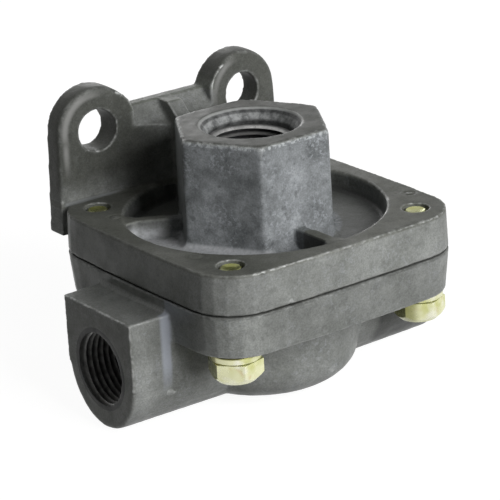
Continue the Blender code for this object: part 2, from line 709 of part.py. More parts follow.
def build_spring_seat(material):
    """The spring seat: a short tube with four wings that slide in the exhaust bore."""
    inner = HUB_RADIUS - HUB_WALL
    hub_base = SEAT_TOP - HUB_LENGTH
    hub = turned("spring_seat", [
        (HUB_RADIUS, SEAT_TOP), (HUB_RADIUS, hub_base + HUB_EDGE),
        (HUB_RADIUS - HUB_EDGE, hub_base), (inner, hub_base), (inner, SEAT_TOP)])
    reach = EXHAUST_BORE_RADIUS - GAP
    half = WING_WIDTH / 2.0
    outline = [(-reach, -half), (reach, -half), (reach, half), (-reach, half)]
    wing_pairs = []
    for angle in (45.0, 135.0):
        wings = flat_outline("wing_pair", outline, WING_LENGTH, at_height(WING_BASE, SEAT_TOP))
        wing_pairs.append(moved(wings, 0.0, 0.0, 0.0, angle))
    return finish(combined(hub, "UNION", wing_pairs), "spring_seat", material)


def build_spring(material):
    """The return spring: a wire coil with nearly closed turns at its two ends."""
    top = WING_BASE - GAP - SPRING_WIRE_RADIUS
    bottom = LEDGE_TOP + GAP + SPRING_WIRE_RADIUS
    end_rise = SPRING_END_TURNS * (2.0 * SPRING_WIRE_RADIUS + GAP)
    open_turns = SPRING_TURNS - 2.0 * SPRING_END_TURNS
    open_rise = top - bottom - 2.0 * end_rise
    points = []
    for i in range(int(SPRING_TURNS * SPRING_STEPS) + 1):
        turn = i / SPRING_STEPS
        lower = min(turn, SPRING_END_TURNS) / SPRING_END_TURNS
        upper = max(turn - SPRING_TURNS + SPRING_END_TURNS, 0.0) / SPRING_END_TURNS
        middle = min(max(turn - SPRING_END_TURNS, 0.0) / open_turns, 1.0)
        height = bottom + end_rise * (lower + upper) + open_rise * middle
        angle = math.tau * turn
        points.append((SPRING_MEAN_RADIUS * math.cos(angle),
                       SPRING_MEAN_RADIUS * math.sin(angle), height))
    curve = bpy.data.curves.new("spring_wire", "CURVE")
    curve.dimensions = "3D"
    curve.bevel_depth = SPRING_WIRE_RADIUS / 1000.0
    curve.bevel_resolution = 2
    curve.use_fill_caps = True
    spline = curve.splines.new("POLY")
    spline.points.add(len(points) - 1)
    for point, spot in zip(spline.points, points):
        point.co = (*mm(*spot), 1.0)
    wire = bpy.data.objects.new("spring_wire", curve)
    bpy.context.scene.collection.objects.link(wire)
    return finish(baked(wire), "diaphragm_spring", material)


def build_seal(material):
    """The round-section seal in the groove of the body's top face."""
    bpy.ops.mesh.primitive_torus_add(
        major_radius=SEAL_RADIUS / 1000.0, minor_radius=SEAL_CORD_RADIUS / 1000.0,
        major_segments=ROUND_STEPS, minor_segments=8,
        location=mm(0.0, 0.0, BODY_TOP - SEAL_GROOVE_DEPTH + SEAL_CORD_RADIUS))
    return finish(bpy.context.object, "cover_seal", material)


def screw_mesh():
    """One cap screw, head down, with its head's upper face at height zero."""
    head_radius = HEAD_ACROSS_FLATS / math.sqrt(3.0)
    head = turned("screw_head", [
        (0.0, 0.0), (head_radius, 0.0), (head_radius, -HEAD_HEIGHT), (0.0, -HEAD_HEIGHT)], steps=6)
    face = HEAD_ACROSS_FLATS / 2.0 - HEAD_CHAMFER_INSET
    wide = head_radius + OVERLAP
    rise = (wide - face) * math.tan(math.radians(HEAD_CHAMFER_ANGLE))
    chamfer = turned("head_chamfer", [
        (0.0, OVERLAP), (wide, OVERLAP), (wide, rise - HEAD_HEIGHT),
        (face, -HEAD_HEIGHT), (0.0, -HEAD_HEIGHT)], steps=6 * FILLET_STEPS * 2)
    head = combined(head, "INTERSECT", [chamfer])
    length = -SCREW_END_DEPTH - HEAD_TOP
    shank = turned("screw_shank", [
        (0.0, length), (SCREW_RADIUS - SCREW_END_CHAMFER, length),
        (SCREW_RADIUS, length - SCREW_END_CHAMFER), (SCREW_RADIUS, -OVERLAP), (0.0, -OVERLAP)],
        steps=SMALL_STEPS)
    return combined(head, "UNION", [shank])


def washer_mesh():
    """One split lock washer, with its upper face at height zero."""
    ring = turned("washer", [
        (WASHER_RADIUS, 0.0), (WASHER_RADIUS, -WASHER_THICKNESS),
        (WASHER_BORE, -WASHER_THICKNESS), (WASHER_BORE, 0.0)], steps=SMALL_STEPS)
    half = WASHER_SLIT / 2.0
    reach = WASHER_RADIUS + OVERLAP
    middle = -WASHER_THICKNESS / 2.0
    slit = flat_outline("washer_slit", [(0.0, -half), (reach, -half), (reach, half), (0.0, half)],
                        3.0 * WASHER_THICKNESS, Matrix.Identity(4))
    return combined(ring, "DIFFERENCE", [moved(slit, 0.0, 0.0, middle, WASHER_SLIT_ANGLE, "X")])


def build_fasteners(material):
    """Four cap screws and four lock washers, each pair turned its own way."""
    screw = screw_mesh()
    washer = washer_mesh()
    for (corner, (x, y)), turn in zip(screw_places().items(), HEAD_TURNS):
        for source, name, level, spin in ((screw, "cap_screw_", HEAD_TOP, turn),
                                          (washer, "lock_washer_", WASHER_TOP, WASHER_LEAD + turn)):
            copy = mesh_object(name + corner, source.data.copy(), source.matrix_world)
            finish(moved(copy, x, y, level, spin), name + corner, material)
    bpy.data.objects.remove(screw, do_unlink=True)
    bpy.data.objects.remove(washer, do_unlink=True)


clear_scene()
parts = new_collection("quick_exhaust_valve")
helpers = new_collection("cutters")
frame_empty = bpy.data.objects.new("valve_frame", None)
parts.objects.link(frame_empty)

casting = make_material("die_cast_metal", (0.13, 0.135, 0.13), 0.48, 0.75)
rubber = make_material("black_rubber", (0.02, 0.02, 0.022), 0.75, 0.0)
plastic = make_material("white_plastic", (0.62, 0.60, 0.54), 0.45, 0.0)
steel = make_material("spring_steel", (0.42, 0.42, 0.43), 0.3, 1.0)
yellow_zinc = make_material("yellow_zinc_steel", (0.72, 0.64, 0.30), 0.28, 1.0)

build_body(casting)
build_cover(casting)
build_seal(rubber)
build_diaphragm(rubber)
build_spring_seat(plastic)
build_spring(steel)
build_fasteners(yellow_zinc)

# The origin is the middle of the bracket's rear face, level with the ear holes
frame_empty.location = mm(0.0, -BRACKET_BACK, -EAR_HOLE_HEIGHT)
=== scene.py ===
"""Looks of a quick exhaust valve: two dark die castings, tumbled and tapped, that four
zinc-plated cap screws hold together around a rubber diaphragm, on a plain white table."""
import math

import bpy
from mathutils import Matrix, Vector


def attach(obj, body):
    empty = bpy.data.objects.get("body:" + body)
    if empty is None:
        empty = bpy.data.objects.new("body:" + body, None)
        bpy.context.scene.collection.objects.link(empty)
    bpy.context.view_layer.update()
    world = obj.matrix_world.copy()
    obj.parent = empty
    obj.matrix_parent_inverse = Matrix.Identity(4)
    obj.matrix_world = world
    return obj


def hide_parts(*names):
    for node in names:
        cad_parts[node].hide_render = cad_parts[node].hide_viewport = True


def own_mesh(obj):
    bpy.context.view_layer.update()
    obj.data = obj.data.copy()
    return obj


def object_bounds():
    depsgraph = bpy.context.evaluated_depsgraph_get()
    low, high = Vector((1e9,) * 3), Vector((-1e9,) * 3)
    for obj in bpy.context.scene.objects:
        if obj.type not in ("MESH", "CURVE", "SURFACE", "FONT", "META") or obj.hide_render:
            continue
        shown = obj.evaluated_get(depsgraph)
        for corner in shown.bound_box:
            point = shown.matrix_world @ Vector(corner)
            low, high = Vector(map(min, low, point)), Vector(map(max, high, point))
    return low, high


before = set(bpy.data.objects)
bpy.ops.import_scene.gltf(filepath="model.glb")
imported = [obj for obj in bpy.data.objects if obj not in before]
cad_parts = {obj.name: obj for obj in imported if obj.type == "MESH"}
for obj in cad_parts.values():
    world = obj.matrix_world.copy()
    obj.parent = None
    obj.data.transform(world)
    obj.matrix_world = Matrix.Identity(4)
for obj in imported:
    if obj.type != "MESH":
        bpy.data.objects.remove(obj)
cad_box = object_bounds()

# Body: the lower casting, a square flange over a round bowl with a port boss at each side.
# It is taken to be die-cast aluminium, tumbled after casting, so its edges are soft and its
# skin is uneven by a few hundredths of a millimetre. The two delivery ports are bored and tapped.
VALVE_AXIS_Y = -39.6
COVER_TOP_Z = -17.1
WELD = 1e-6
CAST_GRAIN = 0.00035
CAST_ROUNDS = 4
CAST_KEPT = 0.36
CAST_SPECULAR = 0.14
RIPPLE_SIZE = 0.0021
RIPPLE_HEIGHT = 0.00009
PORT_AXIS_Z = -28.6
PORT_FACE_X = 47.3
THREAD_ROOT = 10.2
THREAD_CREST = 8.8
THREAD_PITCH = 1.6
THREAD_TURNS = 8
MOUTH_LAND = 0.2
TAPPED_DEPTH = 13.6
BODY_TOP_Z = -10.1
BODY_HALF = 36.5
FLANGE_CORNER = 12.0
BOSS_TOP_Z = -13.8
BOSS_HALF_WIDTH = 13.9
BOSS_ROUNDS = 50
BOSS_EDGE_BAND = 2.0
BURR_BAND = 0.7
RIM_BAND = 1.6 * BURR_BAND
BURR_SIZE = 0.0008
BURR_HEIGHT = 0.0002


def spot(x, y, z):
    """A place in metres, from millimetres off the valve's axis and its cover's top face."""
    return Vector((x, y + VALVE_AXIS_Y, z + COVER_TOP_Z)) / 1000.0


def select_only(*pieces):
    """Selects these pieces alone, with the first one active."""
    bpy.ops.object.select_all(action="DESELECT")
    for piece in pieces:
        piece.select_set(True)
    bpy.context.view_layer.objects.active = pieces[0]


def edit_all(piece):
    """Opens a piece in edit mode with everything selected."""
    select_only(piece)
    bpy.ops.object.mode_set(mode="EDIT")
    bpy.ops.mesh.select_mode(type="VERT")
    bpy.ops.mesh.select_all(action="SELECT")


def edit_where(piece, test):
    """Opens a piece in edit mode with the vertices selected whose place passes a test."""
    edit_all(piece)
    bpy.ops.mesh.select_all(action="DESELECT")
    bpy.ops.object.mode_set(mode="OBJECT")
    for vertex in piece.data.vertices:
        vertex.select = test(piece.matrix_world @ vertex.co)
    bpy.ops.object.mode_set(mode="EDIT")


def apply_modifiers(piece):
    """Applies a piece's modifiers in their order."""
    select_only(piece)
    for modifier in list(piece.modifiers):
        bpy.ops.object.modifier_apply(modifier=modifier.name)


def settle(piece):
    """Puts a piece's place, turn and scale into its mesh."""
    select_only(piece)
    bpy.ops.object.transform_apply(location=True, rotation=True, scale=True)


def welded_copy(node, name):
    """A new piece with the mesh of one of the frame's pieces, its triangles joined up."""
    piece = bpy.data.objects.new(name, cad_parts[node].data.copy())
    bpy.context.scene.collection.objects.link(piece)
    edit_all(piece)
    bpy.ops.mesh.remove_doubles(threshold=WELD)
    bpy.ops.object.mode_set(mode="OBJECT")
    return piece


def shaped_by(piece, bit, operation):
    """Cuts a piece with a bit, or joins the bit to it. The bit is used up."""
    step = piece.modifiers.new("shape", "BOOLEAN")
    step.operation = operation
    step.object = bit
    apply_modifiers(piece)
    bpy.data.objects.remove(bit)


def even_skin(piece, grain, rounds):
    """Rebuilds a piece's skin from cells of one size, then softens its edges."""
    cells = piece.modifiers.new("even_cells", "REMESH")
    cells.mode = "VOXEL"
    cells.voxel_size = grain
    soften = piece.modifiers.new("soft_edges", "SMOOTH")
    soften.factor = 0.5
    soften.iterations = rounds
    apply_modifiers(piece)


def round_off(piece, rounds, group):
    """Softens a piece's edges further within a vertex group."""
    soften = piece.modifiers.new("round_off", "SMOOTH")
    soften.factor = 0.5
    soften.iterations = rounds
    soften.vertex_group = group


def group_where(piece, name, test):
    """A vertex group of the vertices whose place, in the valve's millimetres, passes a test."""
    group = piece.vertex_groups.new(name=name)
    picked = [v.index for v in piece.data.vertices
              if test(1000.0 * v.co.x, 1000.0 * v.co.y - VALVE_AXIS_Y, 1000.0 * v.co.z - COVER_TOP_Z)]
    group.add(picked, 1.0, "REPLACE")
    return group.name


def to_outline(x, y, half):
    """How far inside a flange's rounded square outline a place is."""
    straight = half - FLANGE_CORNER
    return FLANGE_CORNER - math.hypot(max(abs(x) - straight, 0.0), max(abs(y) - straight, 0.0))


def ripple(piece, size, height, group=""):
    """Makes the skin uneven, as a casting's is, by a cloudy pattern of one size."""
    clouds = bpy.data.textures.new("cast_ripple", "CLOUDS")
    clouds.noise_scale = size
    clouds.noise_depth = 2
    uneven = piece.modifiers.new("ripple", "DISPLACE")
    uneven.texture = clouds
    uneven.texture_coords = "LOCAL"
    uneven.strength = height
    uneven.mid_level = 0.5
    uneven.vertex_group = group


def sink(piece, depth, group):
    """Presses a vertex group's skin inwards by a depth in millimetres."""
    pressed = piece.modifiers.new("pressed", "DISPLACE")
    pressed.strength = -depth / 1000.0
    pressed.mid_level = 0.0
    pressed.vertex_group = group


def thin_out(piece, kept):
    """Thins a finished skin to a share of its faces and shades it smooth."""
    thin = piece.modifiers.new("thin", "DECIMATE")
    thin.ratio = kept
    apply_modifiers(piece)
    piece.vertex_groups.clear()
    select_only(piece)
    bpy.ops.object.shade_smooth()


def noise(tree, size, detail, roughness=0.55, distortion=0.0):
    """A noise pattern on the piece's own coordinates, with its size in metres."""
    pattern = tree.nodes.new("ShaderNodeTexNoise")
    pattern.inputs["Scale"].default_value = 1.0 / size
    pattern.inputs["Detail"].default_value = detail
    pattern.inputs["Roughness"].default_value = roughness
    pattern.inputs["Distortion"].default_value = distortion
    place = tree.nodes.get("Place") or tree.nodes.new("ShaderNodeTexCoord")
    place.name = "Place"
    tree.links.new(place.outputs["Object"], pattern.inputs["Vector"])
    return pattern.outputs["Fac"]


def ramp(tree, value, low, high, dark, light):
    """Turns a value from low to high into a colour, or a grey level, from dark to light."""
    scale = tree.nodes.new("ShaderNodeValToRGB")
    tree.links.new(value, scale.inputs["Fac"])
    for stop, spot_on, colour in zip(scale.color_ramp.elements, (low, high), (dark, light)):
        stop.position = spot_on
        stop.color = (*colour, 1.0) if isinstance(colour, tuple) else (colour, colour, colour, 1.0)
    return scale.outputs["Color"]


def blend(tree, kind, share, first, second):
    """Mixes two colours. The share and the colours are values or other nodes' outputs."""
    mixer = tree.nodes.new("ShaderNodeMix")
    mixer.data_type = "RGBA"
    mixer.blend_type = kind
    for socket, value in zip((mixer.inputs["Factor"], mixer.inputs[6], mixer.inputs[7]),
                             (share, first, second)):
        if isinstance(value, bpy.types.NodeSocket):
            tree.links.new(value, socket)
        else:
            socket.default_value = (*value, 1.0) if isinstance(value, tuple) else value
    return mixer.outputs[2]


def calculate(tree, kind, first, second):
    """A sum on two values, or on the first alone. Each may be another node's output."""
    step = tree.nodes.new("ShaderNodeMath")
    step.operation = kind
    for socket, value in zip(step.inputs, (first, second)):
        if isinstance(value, bpy.types.NodeSocket):
            tree.links.new(value, socket)
        else:
            socket.default_value = value
    return step.outputs[0]


def bump(tree, shader, height, strength, depth):
    """Gives a shader the relief of a pattern, its depth in metres."""
    relief = tree.nodes.new("ShaderNodeBump")
    relief.inputs["Strength"].default_value = strength
    relief.inputs["Distance"].default_value = depth
    tree.links.new(height, relief.inputs["Height"])
    tree.links.new(relief.outputs["Normal"], shader.inputs["Normal"])


def new_finish(name, metallic, specular):
    """A new material with its node tree and its shader."""
    finish = bpy.data.materials.new(name)
    finish.use_nodes = True
    shader = finish.node_tree.nodes["Principled BSDF"]
    shader.inputs["Metallic"].default_value = metallic
    shader.inputs["Specular IOR Level"].default_value = specular
    return finish, finish.node_tree, shader


def fitted(piece, body, finish, slot, *nodes):
    """Gives a piece its material and lets it ride in place of the frame's pieces. The slot is not used."""
    piece.data.materials.clear()
    piece.data.materials.append(finish)
    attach(piece, body)
    if nodes:
        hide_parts(*nodes)


def along(tree, axis, start, end, wander=0.0):
    """0 before one place on an axis and 1 past another, in the valve's millimetres."""
    split = tree.nodes.get("Split")
    if split is None:
        split = tree.nodes.new("ShaderNodeSeparateXYZ")
        split.name = "Split"
        tree.links.new(tree.nodes["Place"].outputs["Object"], split.inputs[0])
    offset = {"X": 0.0, "Y": VALVE_AXIS_Y, "Z": COVER_TOP_Z}[axis]
    place = split.outputs[axis]
    if wander:
        strayed = calculate(tree, "MULTIPLY", noise(tree, 0.005, 3.0), wander / 1000.0)
        place = calculate(tree, "ADD", place, strayed)
        offset += wander / 2.0
    return stretch(tree, place, (start + offset) / 1000.0, (end + offset) / 1000.0)


def stretch(tree, value, start, end):
    """0 where a value is at its start and 1 where it is at its end, with soft ends."""
    step = tree.nodes.new("ShaderNodeMapRange")
    step.interpolation_type = "SMOOTHSTEP"
    tree.links.new(value, step.inputs["Value"])
    step.inputs["From Min"].default_value = start
    step.inputs["From Max"].default_value = end
    return step.outputs[0]


def cast_skin(tree, dark, light, speck, speckled=1.0, mottled=1.0):
    """The casting's colour: broad clouds, a fine mottle and the tumbling stones' pale specks."""
    skin = ramp(tree, noise(tree, 0.011, 4.0), 0.36, 0.66, dark, light)
    uneven = 0.2 * mottled
    mottle = ramp(tree, noise(tree, 0.0030, 5.0, 0.7), 0.32, 0.68, 1.0 - uneven, 1.0 + uneven)
    skin = blend(tree, "MULTIPLY", 1.0, skin, mottle)
    patches = ramp(tree, noise(tree, 0.0075, 3.0, 0.6), 0.44, 0.60, 0.15, 1.0)
    dots = ramp(tree, noise(tree, 0.0010, 5.0, 0.72), 0.50, 0.60, 0.0, 0.7 * speckled)
    skin = blend(tree, "MIX", calculate(tree, "MULTIPLY", patches, dots), skin, speck)
    stains = ramp(tree, noise(tree, 0.0026, 4.0, 0.62), 0.56, 0.68, 0.0, 0.5 * mottled)
    skin = blend(tree, "MIX", stains, skin, tuple(0.62 * part for part in dark))
    grit = ramp(tree, noise(tree, 0.00042, 3.0, 0.6), 0.3, 0.7, 0.80, 1.20)
    return blend(tree, "MULTIPLY", 1.0, skin, grit)


def off_axis(tree, axis_is_x, height=0.0):
    """How far a place is from the valve's upright axis, or from the delivery ports' axis."""
    flat = tree.nodes.new("ShaderNodeVectorMath")
    flat.operation = "MULTIPLY"
    flat.inputs[1].default_value = (0.0, 1.0, 1.0) if axis_is_x else (1.0, 1.0, 0.0)
    tree.links.new(tree.nodes["Place"].outputs["Object"], flat.inputs[0])
    reach = tree.nodes.new("ShaderNodeVectorMath")
    reach.operation = "DISTANCE"
    middle = spot(0.0, 0.0, height)
    reach.inputs[1].default_value = (0.0, middle.y, middle.z) if axis_is_x else (0.0, middle.y, 0.0)
    tree.links.new(flat.outputs[0], reach.inputs[0])
    return reach.outputs["Value"]


def both(tree, *shares):
    """The product of two or more masks."""
    result = shares[0]
    for share in shares[1:]:
        result = calculate(tree, "MULTIPLY", result, share)
    return result


def cast_relief(tree, shader, skin, reached):
    """Finishes a casting: edges worn bare and given a painted highlight where they are reached, painted
    shade in the hollows, a grain.
    """
    form = tree.nodes.new("ShaderNodeNewGeometry")
    scuffs = ramp(tree, noise(tree, 0.0013, 3.0, 0.6), 0.42, 0.60, 0.25, 1.0)
    # Edge colour: metal worn bare by the stones, and a painted highlight.
    edges = ramp(tree, form.outputs["Pointiness"], 0.511, 0.540, 0.0, 0.85)
    wear_and_highlight = both(tree, edges, scuffs, reached)
    skin = blend(tree, "MIX", wear_and_highlight, skin, RUBBED_METAL_AND_HIGHLIGHT)
    # Painted shade darkens the hollows.
    hollow_shade = ramp(tree, form.outputs["Pointiness"], 0.43, 0.49, 0.45, 1.0)
    skin = blend(tree, "MULTIPLY", 1.0, skin, hollow_shade)
    tree.links.new(skin, shader.inputs["Base Color"])
    tree.links.new(calculate(tree, "MULTIPLY", wear_and_highlight, 0.5), shader.inputs["Metallic"])
    gloss = ramp(tree, noise(tree, 0.004, 4.0, 0.6), 0.35, 0.70, 0.36, 0.54)
    tree.links.new(gloss, shader.inputs["Roughness"])
    grain = calculate(tree, "ADD", noise(tree, 0.00045, 3.0, 0.6), noise(tree, 0.0016, 2.0))
    bump(tree, shader, grain, 0.4, 0.00006)


# The body's skin is a greenish grey, paler round the bowl. A painted highlight lies on the
# flange's front left corner, and a bluish one along the front of each boss's root fillet.
# Painted shade darkens the right boss's front, the bosses' faces, the bores and the edge beside the joint.
# The worn edges' colour, which also serves as a painted highlight.
RUBBED_METAL_AND_HIGHLIGHT = (0.42, 0.43, 0.42)

body_skin, tree, shader = new_finish("die_cast_metal", 0.0, CAST_SPECULAR)
skin = cast_skin(tree, (0.178, 0.185, 0.174), (0.250, 0.258, 0.247), (0.315, 0.328, 0.340), 0.55, 0.7)
below = along(tree, "Z", -20.0, -27.0, 4.0)
skin = blend(tree, "MULTIPLY", below, skin, (1.15, 1.15, 1.16))
sideways = calculate(tree, "ABSOLUTE", tree.nodes["Split"].outputs["X"], 0.0)
# Painted highlight: a bluish strip along the front of each boss's root fillet.
painted_root_highlight = both(tree, stretch(tree, sideways, 0.0362, 0.0370), stretch(tree, sideways, 0.0396, 0.0384),
            along(tree, "Y", -12.8, -13.6), along(tree, "Z", -33.0, -26.0, 5.0))
skin = blend(tree, "MIX", calculate(tree, "MULTIPLY", painted_root_highlight, 0.75), skin, (0.46, 0.49, 0.56))
# Painted shadow on the right boss's front, under the flange and the screw.
painted_boss_shadow = both(tree, along(tree, "X", 24.0, 27.0, 3.0), along(tree, "Y", -8.0, -11.0),
              along(tree, "Z", -20.4, -21.4), along(tree, "Y", -24.0, -17.0))
skin = blend(tree, "MULTIPLY", painted_boss_shadow, skin, (0.36, 0.36, 0.36))
# Painted shade on the bosses' faces.
painted_port_face_shade = stretch(tree, sideways, 0.0464, 0.0469)
skin = blend(tree, "MULTIPLY", painted_port_face_shade, skin, (0.80, 0.80, 0.78))
# Painted highlight on the flange's front left corner.
corner = both(tree, along(tree, "X", -20.0, -29.0, 3.0), along(tree, "Y", -24.0, -33.0, 3.0),
              along(tree, "Z", -22.0, -19.0))
skin = blend(tree, "MULTIPLY", corner, skin, (1.35, 1.35, 1.35))
from_bore = off_axis(tree, True, PORT_AXIS_Z)
ported = stretch(tree, sideways, 0.028, 0.032)
# Painted shade inside the delivery bores.
inside = both(tree, stretch(tree, from_bore, 0.0104, 0.0101), ported)
skin = blend(tree, "MULTIPLY", inside, skin, (0.16, 0.16, 0.16))
# Painted shade beside the joint between the castings.
painted_joint_shade = along(tree, "Z", -11.0, -10.3, 0.6)
skin = blend(tree, "MULTIPLY", painted_joint_shade, skin, (0.50, 0.50, 0.49))
mouth = both(tree, stretch(tree, from_bore, 0.0118, 0.0112), ported)
spared = calculate(tree, "MAXIMUM", mouth, calculate(tree, "MULTIPLY", painted_joint_shade, 0.65))
cast_relief(tree, shader, skin, stretch(tree, spared, 1.0, 0.0))

body = welded_copy("body", "body_casting")
for side in (-1.0, 1.0):
    bpy.ops.mesh.primitive_cylinder_add(
        vertices=96, radius=THREAD_ROOT / 1000.0, depth=TAPPED_DEPTH / 1000.0,
        location=spot(side * (PORT_FACE_X - MOUTH_LAND - TAPPED_DEPTH / 2.0), 0.0, PORT_AXIS_Z),
        rotation=(0.0, math.radians(90.0), 0.0))
    shaped_by(body, bpy.context.object, "DIFFERENCE")
even_skin(body, CAST_GRAIN, CAST_ROUNDS)
round_off(body, BOSS_ROUNDS, group_where(
    body, "boss_edges",
    lambda x, y, z: abs(x) > PORT_FACE_X - BOSS_EDGE_BAND and z < PORT_AXIS_Z - BOSS_EDGE_BAND
    and math.hypot(y, z - PORT_AXIS_Z) > BOSS_HALF_WIDTH - BOSS_EDGE_BAND))
ripple(body, RIPPLE_SIZE, RIPPLE_HEIGHT)
ripple(body, BURR_SIZE, BURR_HEIGHT, group_where(
    body, "parting_burr",
    lambda x, y, z: z > BODY_TOP_Z - BURR_BAND and to_outline(x, y, BODY_HALF) < RIM_BAND))
ripple(body, BURR_SIZE, BURR_HEIGHT, group_where(
    body, "boss_burr",
    lambda x, y, z: abs(x) > PORT_FACE_X - BURR_BAND and (
        z > BOSS_TOP_Z - BURR_BAND or abs(y) > BOSS_HALF_WIDTH - BURR_BAND)))
thin_out(body, CAST_KEPT)
fitted(body, "housing", body_skin, "die_cast_metal", "body")

# Delivery-port threads: internal threads cut by a tap, dark with its cutting oil. Each is
# one ridge that winds into the port, paler at its crest, with painted shade towards its root,
# and the mouth's chamfer takes off its first turn.
RIDGE_FOOT = 1.5
RIDGE_CREST = 0.2
RIDGE_STEPS = 64
RIDGE_SLOPE = 0.84
RIDGE_CUT = 2.4
RIDGE_OVERLAP = 0.2
MOUTH_RADIUS = 9.5


def thread_ridge(name, turns, foot, crest, root_radius, crest_radius, pitch, steps):
    """A triangular ridge that winds up the X axis from the origin, closed at both ends."""
    depth = root_radius - crest_radius
    bpy.ops.mesh.primitive_plane_add(size=0.001)
    ridge = bpy.context.object
    ridge.name = name
    bpy.ops.object.mode_set(mode="EDIT")
    bpy.ops.mesh.delete(type="ONLY_FACE")
    bpy.ops.mesh.select_all(action="SELECT")
    bpy.ops.transform.resize(value=(foot, abs(depth), 1.0))
    bpy.ops.transform.translate(value=(foot / 2000.0, (root_radius + crest_radius) / 2000.0, 0.0))
    bpy.ops.object.mode_set(mode="OBJECT")
    nearer = min if depth > 0.0 else max
    edge = nearer(vertex.co.y for vertex in ridge.data.vertices)
    edit_where(ridge, lambda place: abs(place.y - edge) < WELD)
    bpy.ops.transform.resize(value=(crest / foot, 1.0, 1.0))
    bpy.ops.object.mode_set(mode="OBJECT")
    wind = ridge.modifiers.new("wind", "SCREW")
    wind.axis = "X"
    wind.angle = math.tau
    wind.screw_offset = pitch / 1000.0
    wind.iterations = turns
    wind.steps = wind.render_steps = steps
    apply_modifiers(ridge)
    edit_all(ridge)
    bpy.ops.mesh.remove_doubles(threshold=WELD)
    bpy.ops.mesh.fill_holes(sides=4)
    bpy.ops.mesh.select_all(action="SELECT")
    bpy.ops.mesh.normals_make_consistent(inside=False)
    bpy.ops.object.mode_set(mode="OBJECT")
    bpy.ops.object.shade_smooth_by_angle(angle=math.radians(40.0))
    return ridge


def tapped_ridge(name, mouth_radius):
    """A port's thread on the X axis, cut by a cone of a given radius at the origin."""
    ridge = thread_ridge(name, THREAD_TURNS, RIDGE_FOOT, RIDGE_CREST,
                         THREAD_ROOT + RIDGE_OVERLAP, THREAD_CREST, THREAD_PITCH, RIDGE_STEPS)
    bpy.ops.mesh.primitive_cone_add(
        vertices=96, radius1=(mouth_radius + RIDGE_SLOPE * RIDGE_CUT) / 1000.0,
        radius2=(mouth_radius - RIDGE_SLOPE * RIDGE_CUT) / 1000.0, depth=2.0 * RIDGE_CUT / 1000.0,
        rotation=(0.0, math.radians(90.0), 0.0))
    shaped_by(ridge, bpy.context.object, "DIFFERENCE")
    bpy.ops.object.shade_smooth_by_angle(angle=math.radians(40.0))
    return ridge


cut_metal, tree, shader = new_finish("cut_thread", 0.4, 0.3)
cut_skin = ramp(tree, noise(tree, 0.0016, 3.0), 0.35, 0.65, (0.22, 0.22, 0.214), (0.38, 0.38, 0.372))
# Painted shade towards the thread's root; the crest keeps the plain colour.
crest = stretch(tree, off_axis(tree, True, PORT_AXIS_Z), 0.0098, 0.0090)
cut_skin = blend(tree, "MIX", crest, blend(tree, "MULTIPLY", 1.0, cut_skin, (0.5, 0.5, 0.5)), cut_skin)
tree.links.new(cut_skin, shader.inputs["Base Color"])
tree.links.new(ramp(tree, noise(tree, 0.0012, 3.0), 0.3, 0.7, 0.30, 0.46), shader.inputs["Roughness"])
bump(tree, shader, noise(tree, 0.0003, 3.0), 0.3, 0.00003)

ridge = tapped_ridge("delivery_thread_left", MOUTH_RADIUS)
select_only(ridge)
bpy.ops.object.duplicate()
other_ridge = bpy.context.object
other_ridge.name = "delivery_thread_right"
ridge.rotation_euler = (math.radians(180.0), 0.0, 0.0)
ridge.location = spot(-PORT_FACE_X + MOUTH_LAND, 0.0, PORT_AXIS_Z)
other_ridge.rotation_euler = (0.0, 0.0, math.radians(180.0))
other_ridge.location = spot(PORT_FACE_X - MOUTH_LAND, 0.0, PORT_AXIS_Z)
for piece in (ridge, other_ridge):
    settle(piece)
    fitted(piece, "housing", cut_metal, "die_cast_metal")

spring_wire, tree, shader = new_finish("spring_steel", 0.9, 0.5)
wire_skin = ramp(tree, noise(tree, 0.0008, 3.0), 0.3, 0.7, (0.36, 0.36, 0.35), (0.52, 0.52, 0.51))
tree.links.new(wire_skin, shader.inputs["Base Color"])
tree.links.new(ramp(tree, noise(tree, 0.0011, 2.0), 0.3, 0.7, 0.24, 0.38), shader.inputs["Roughness"])
bump(tree, shader, noise(tree, 0.0002, 2.0), 0.3, 0.00001)

spring = welded_copy("diaphragm_spring", "return_spring")
edit_all(spring)
bpy.ops.mesh.tris_convert_to_quads()
bpy.ops.object.mode_set(mode="OBJECT")
rounding = spring.modifiers.new("rounding", "SUBSURF")
rounding.levels = rounding.render_levels = 2
apply_modifiers(spring)
bpy.ops.object.shade_smooth()
fitted(spring, "housing", spring_wire, "spring_steel", "diaphragm_spring")
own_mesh(spring)

# Spring seat: a moulded white plastic tube with four wings, which slides in the exhaust
# bore under the diaphragm. Its edges are as soft as a moulding's.
SEAT_GRAIN = 0.00016
SEAT_KEPT = 0.3

plastic, tree, shader = new_finish("white_plastic", 0.0, 0.45)
tree.links.new(ramp(tree, noise(tree, 0.003, 3.0), 0.3, 0.7, (0.70, 0.69, 0.65), (0.79, 0.78, 0.75)),
               shader.inputs["Base Color"])
tree.links.new(ramp(tree, noise(tree, 0.0015, 3.0), 0.3, 0.7, 0.42, 0.55), shader.inputs["Roughness"])
bump(tree, shader, noise(tree, 0.0003, 2.0), 0.2, 0.00002)

seat = welded_copy("spring_seat", "spring_seat_moulding")
even_skin(seat, SEAT_GRAIN, 3)
thin_out(seat, SEAT_KEPT)
fitted(seat, "diaphragm_assembly", plastic, "white_plastic", "spring_seat")

# Diaphragm: a moulded black rubber disc, thick in the middle where it seals and thin at
# its lip, which lets the supply air past. It lifts with its seat.
RUBBER_GRAIN = 0.0003
RUBBER_KEPT = 0.3

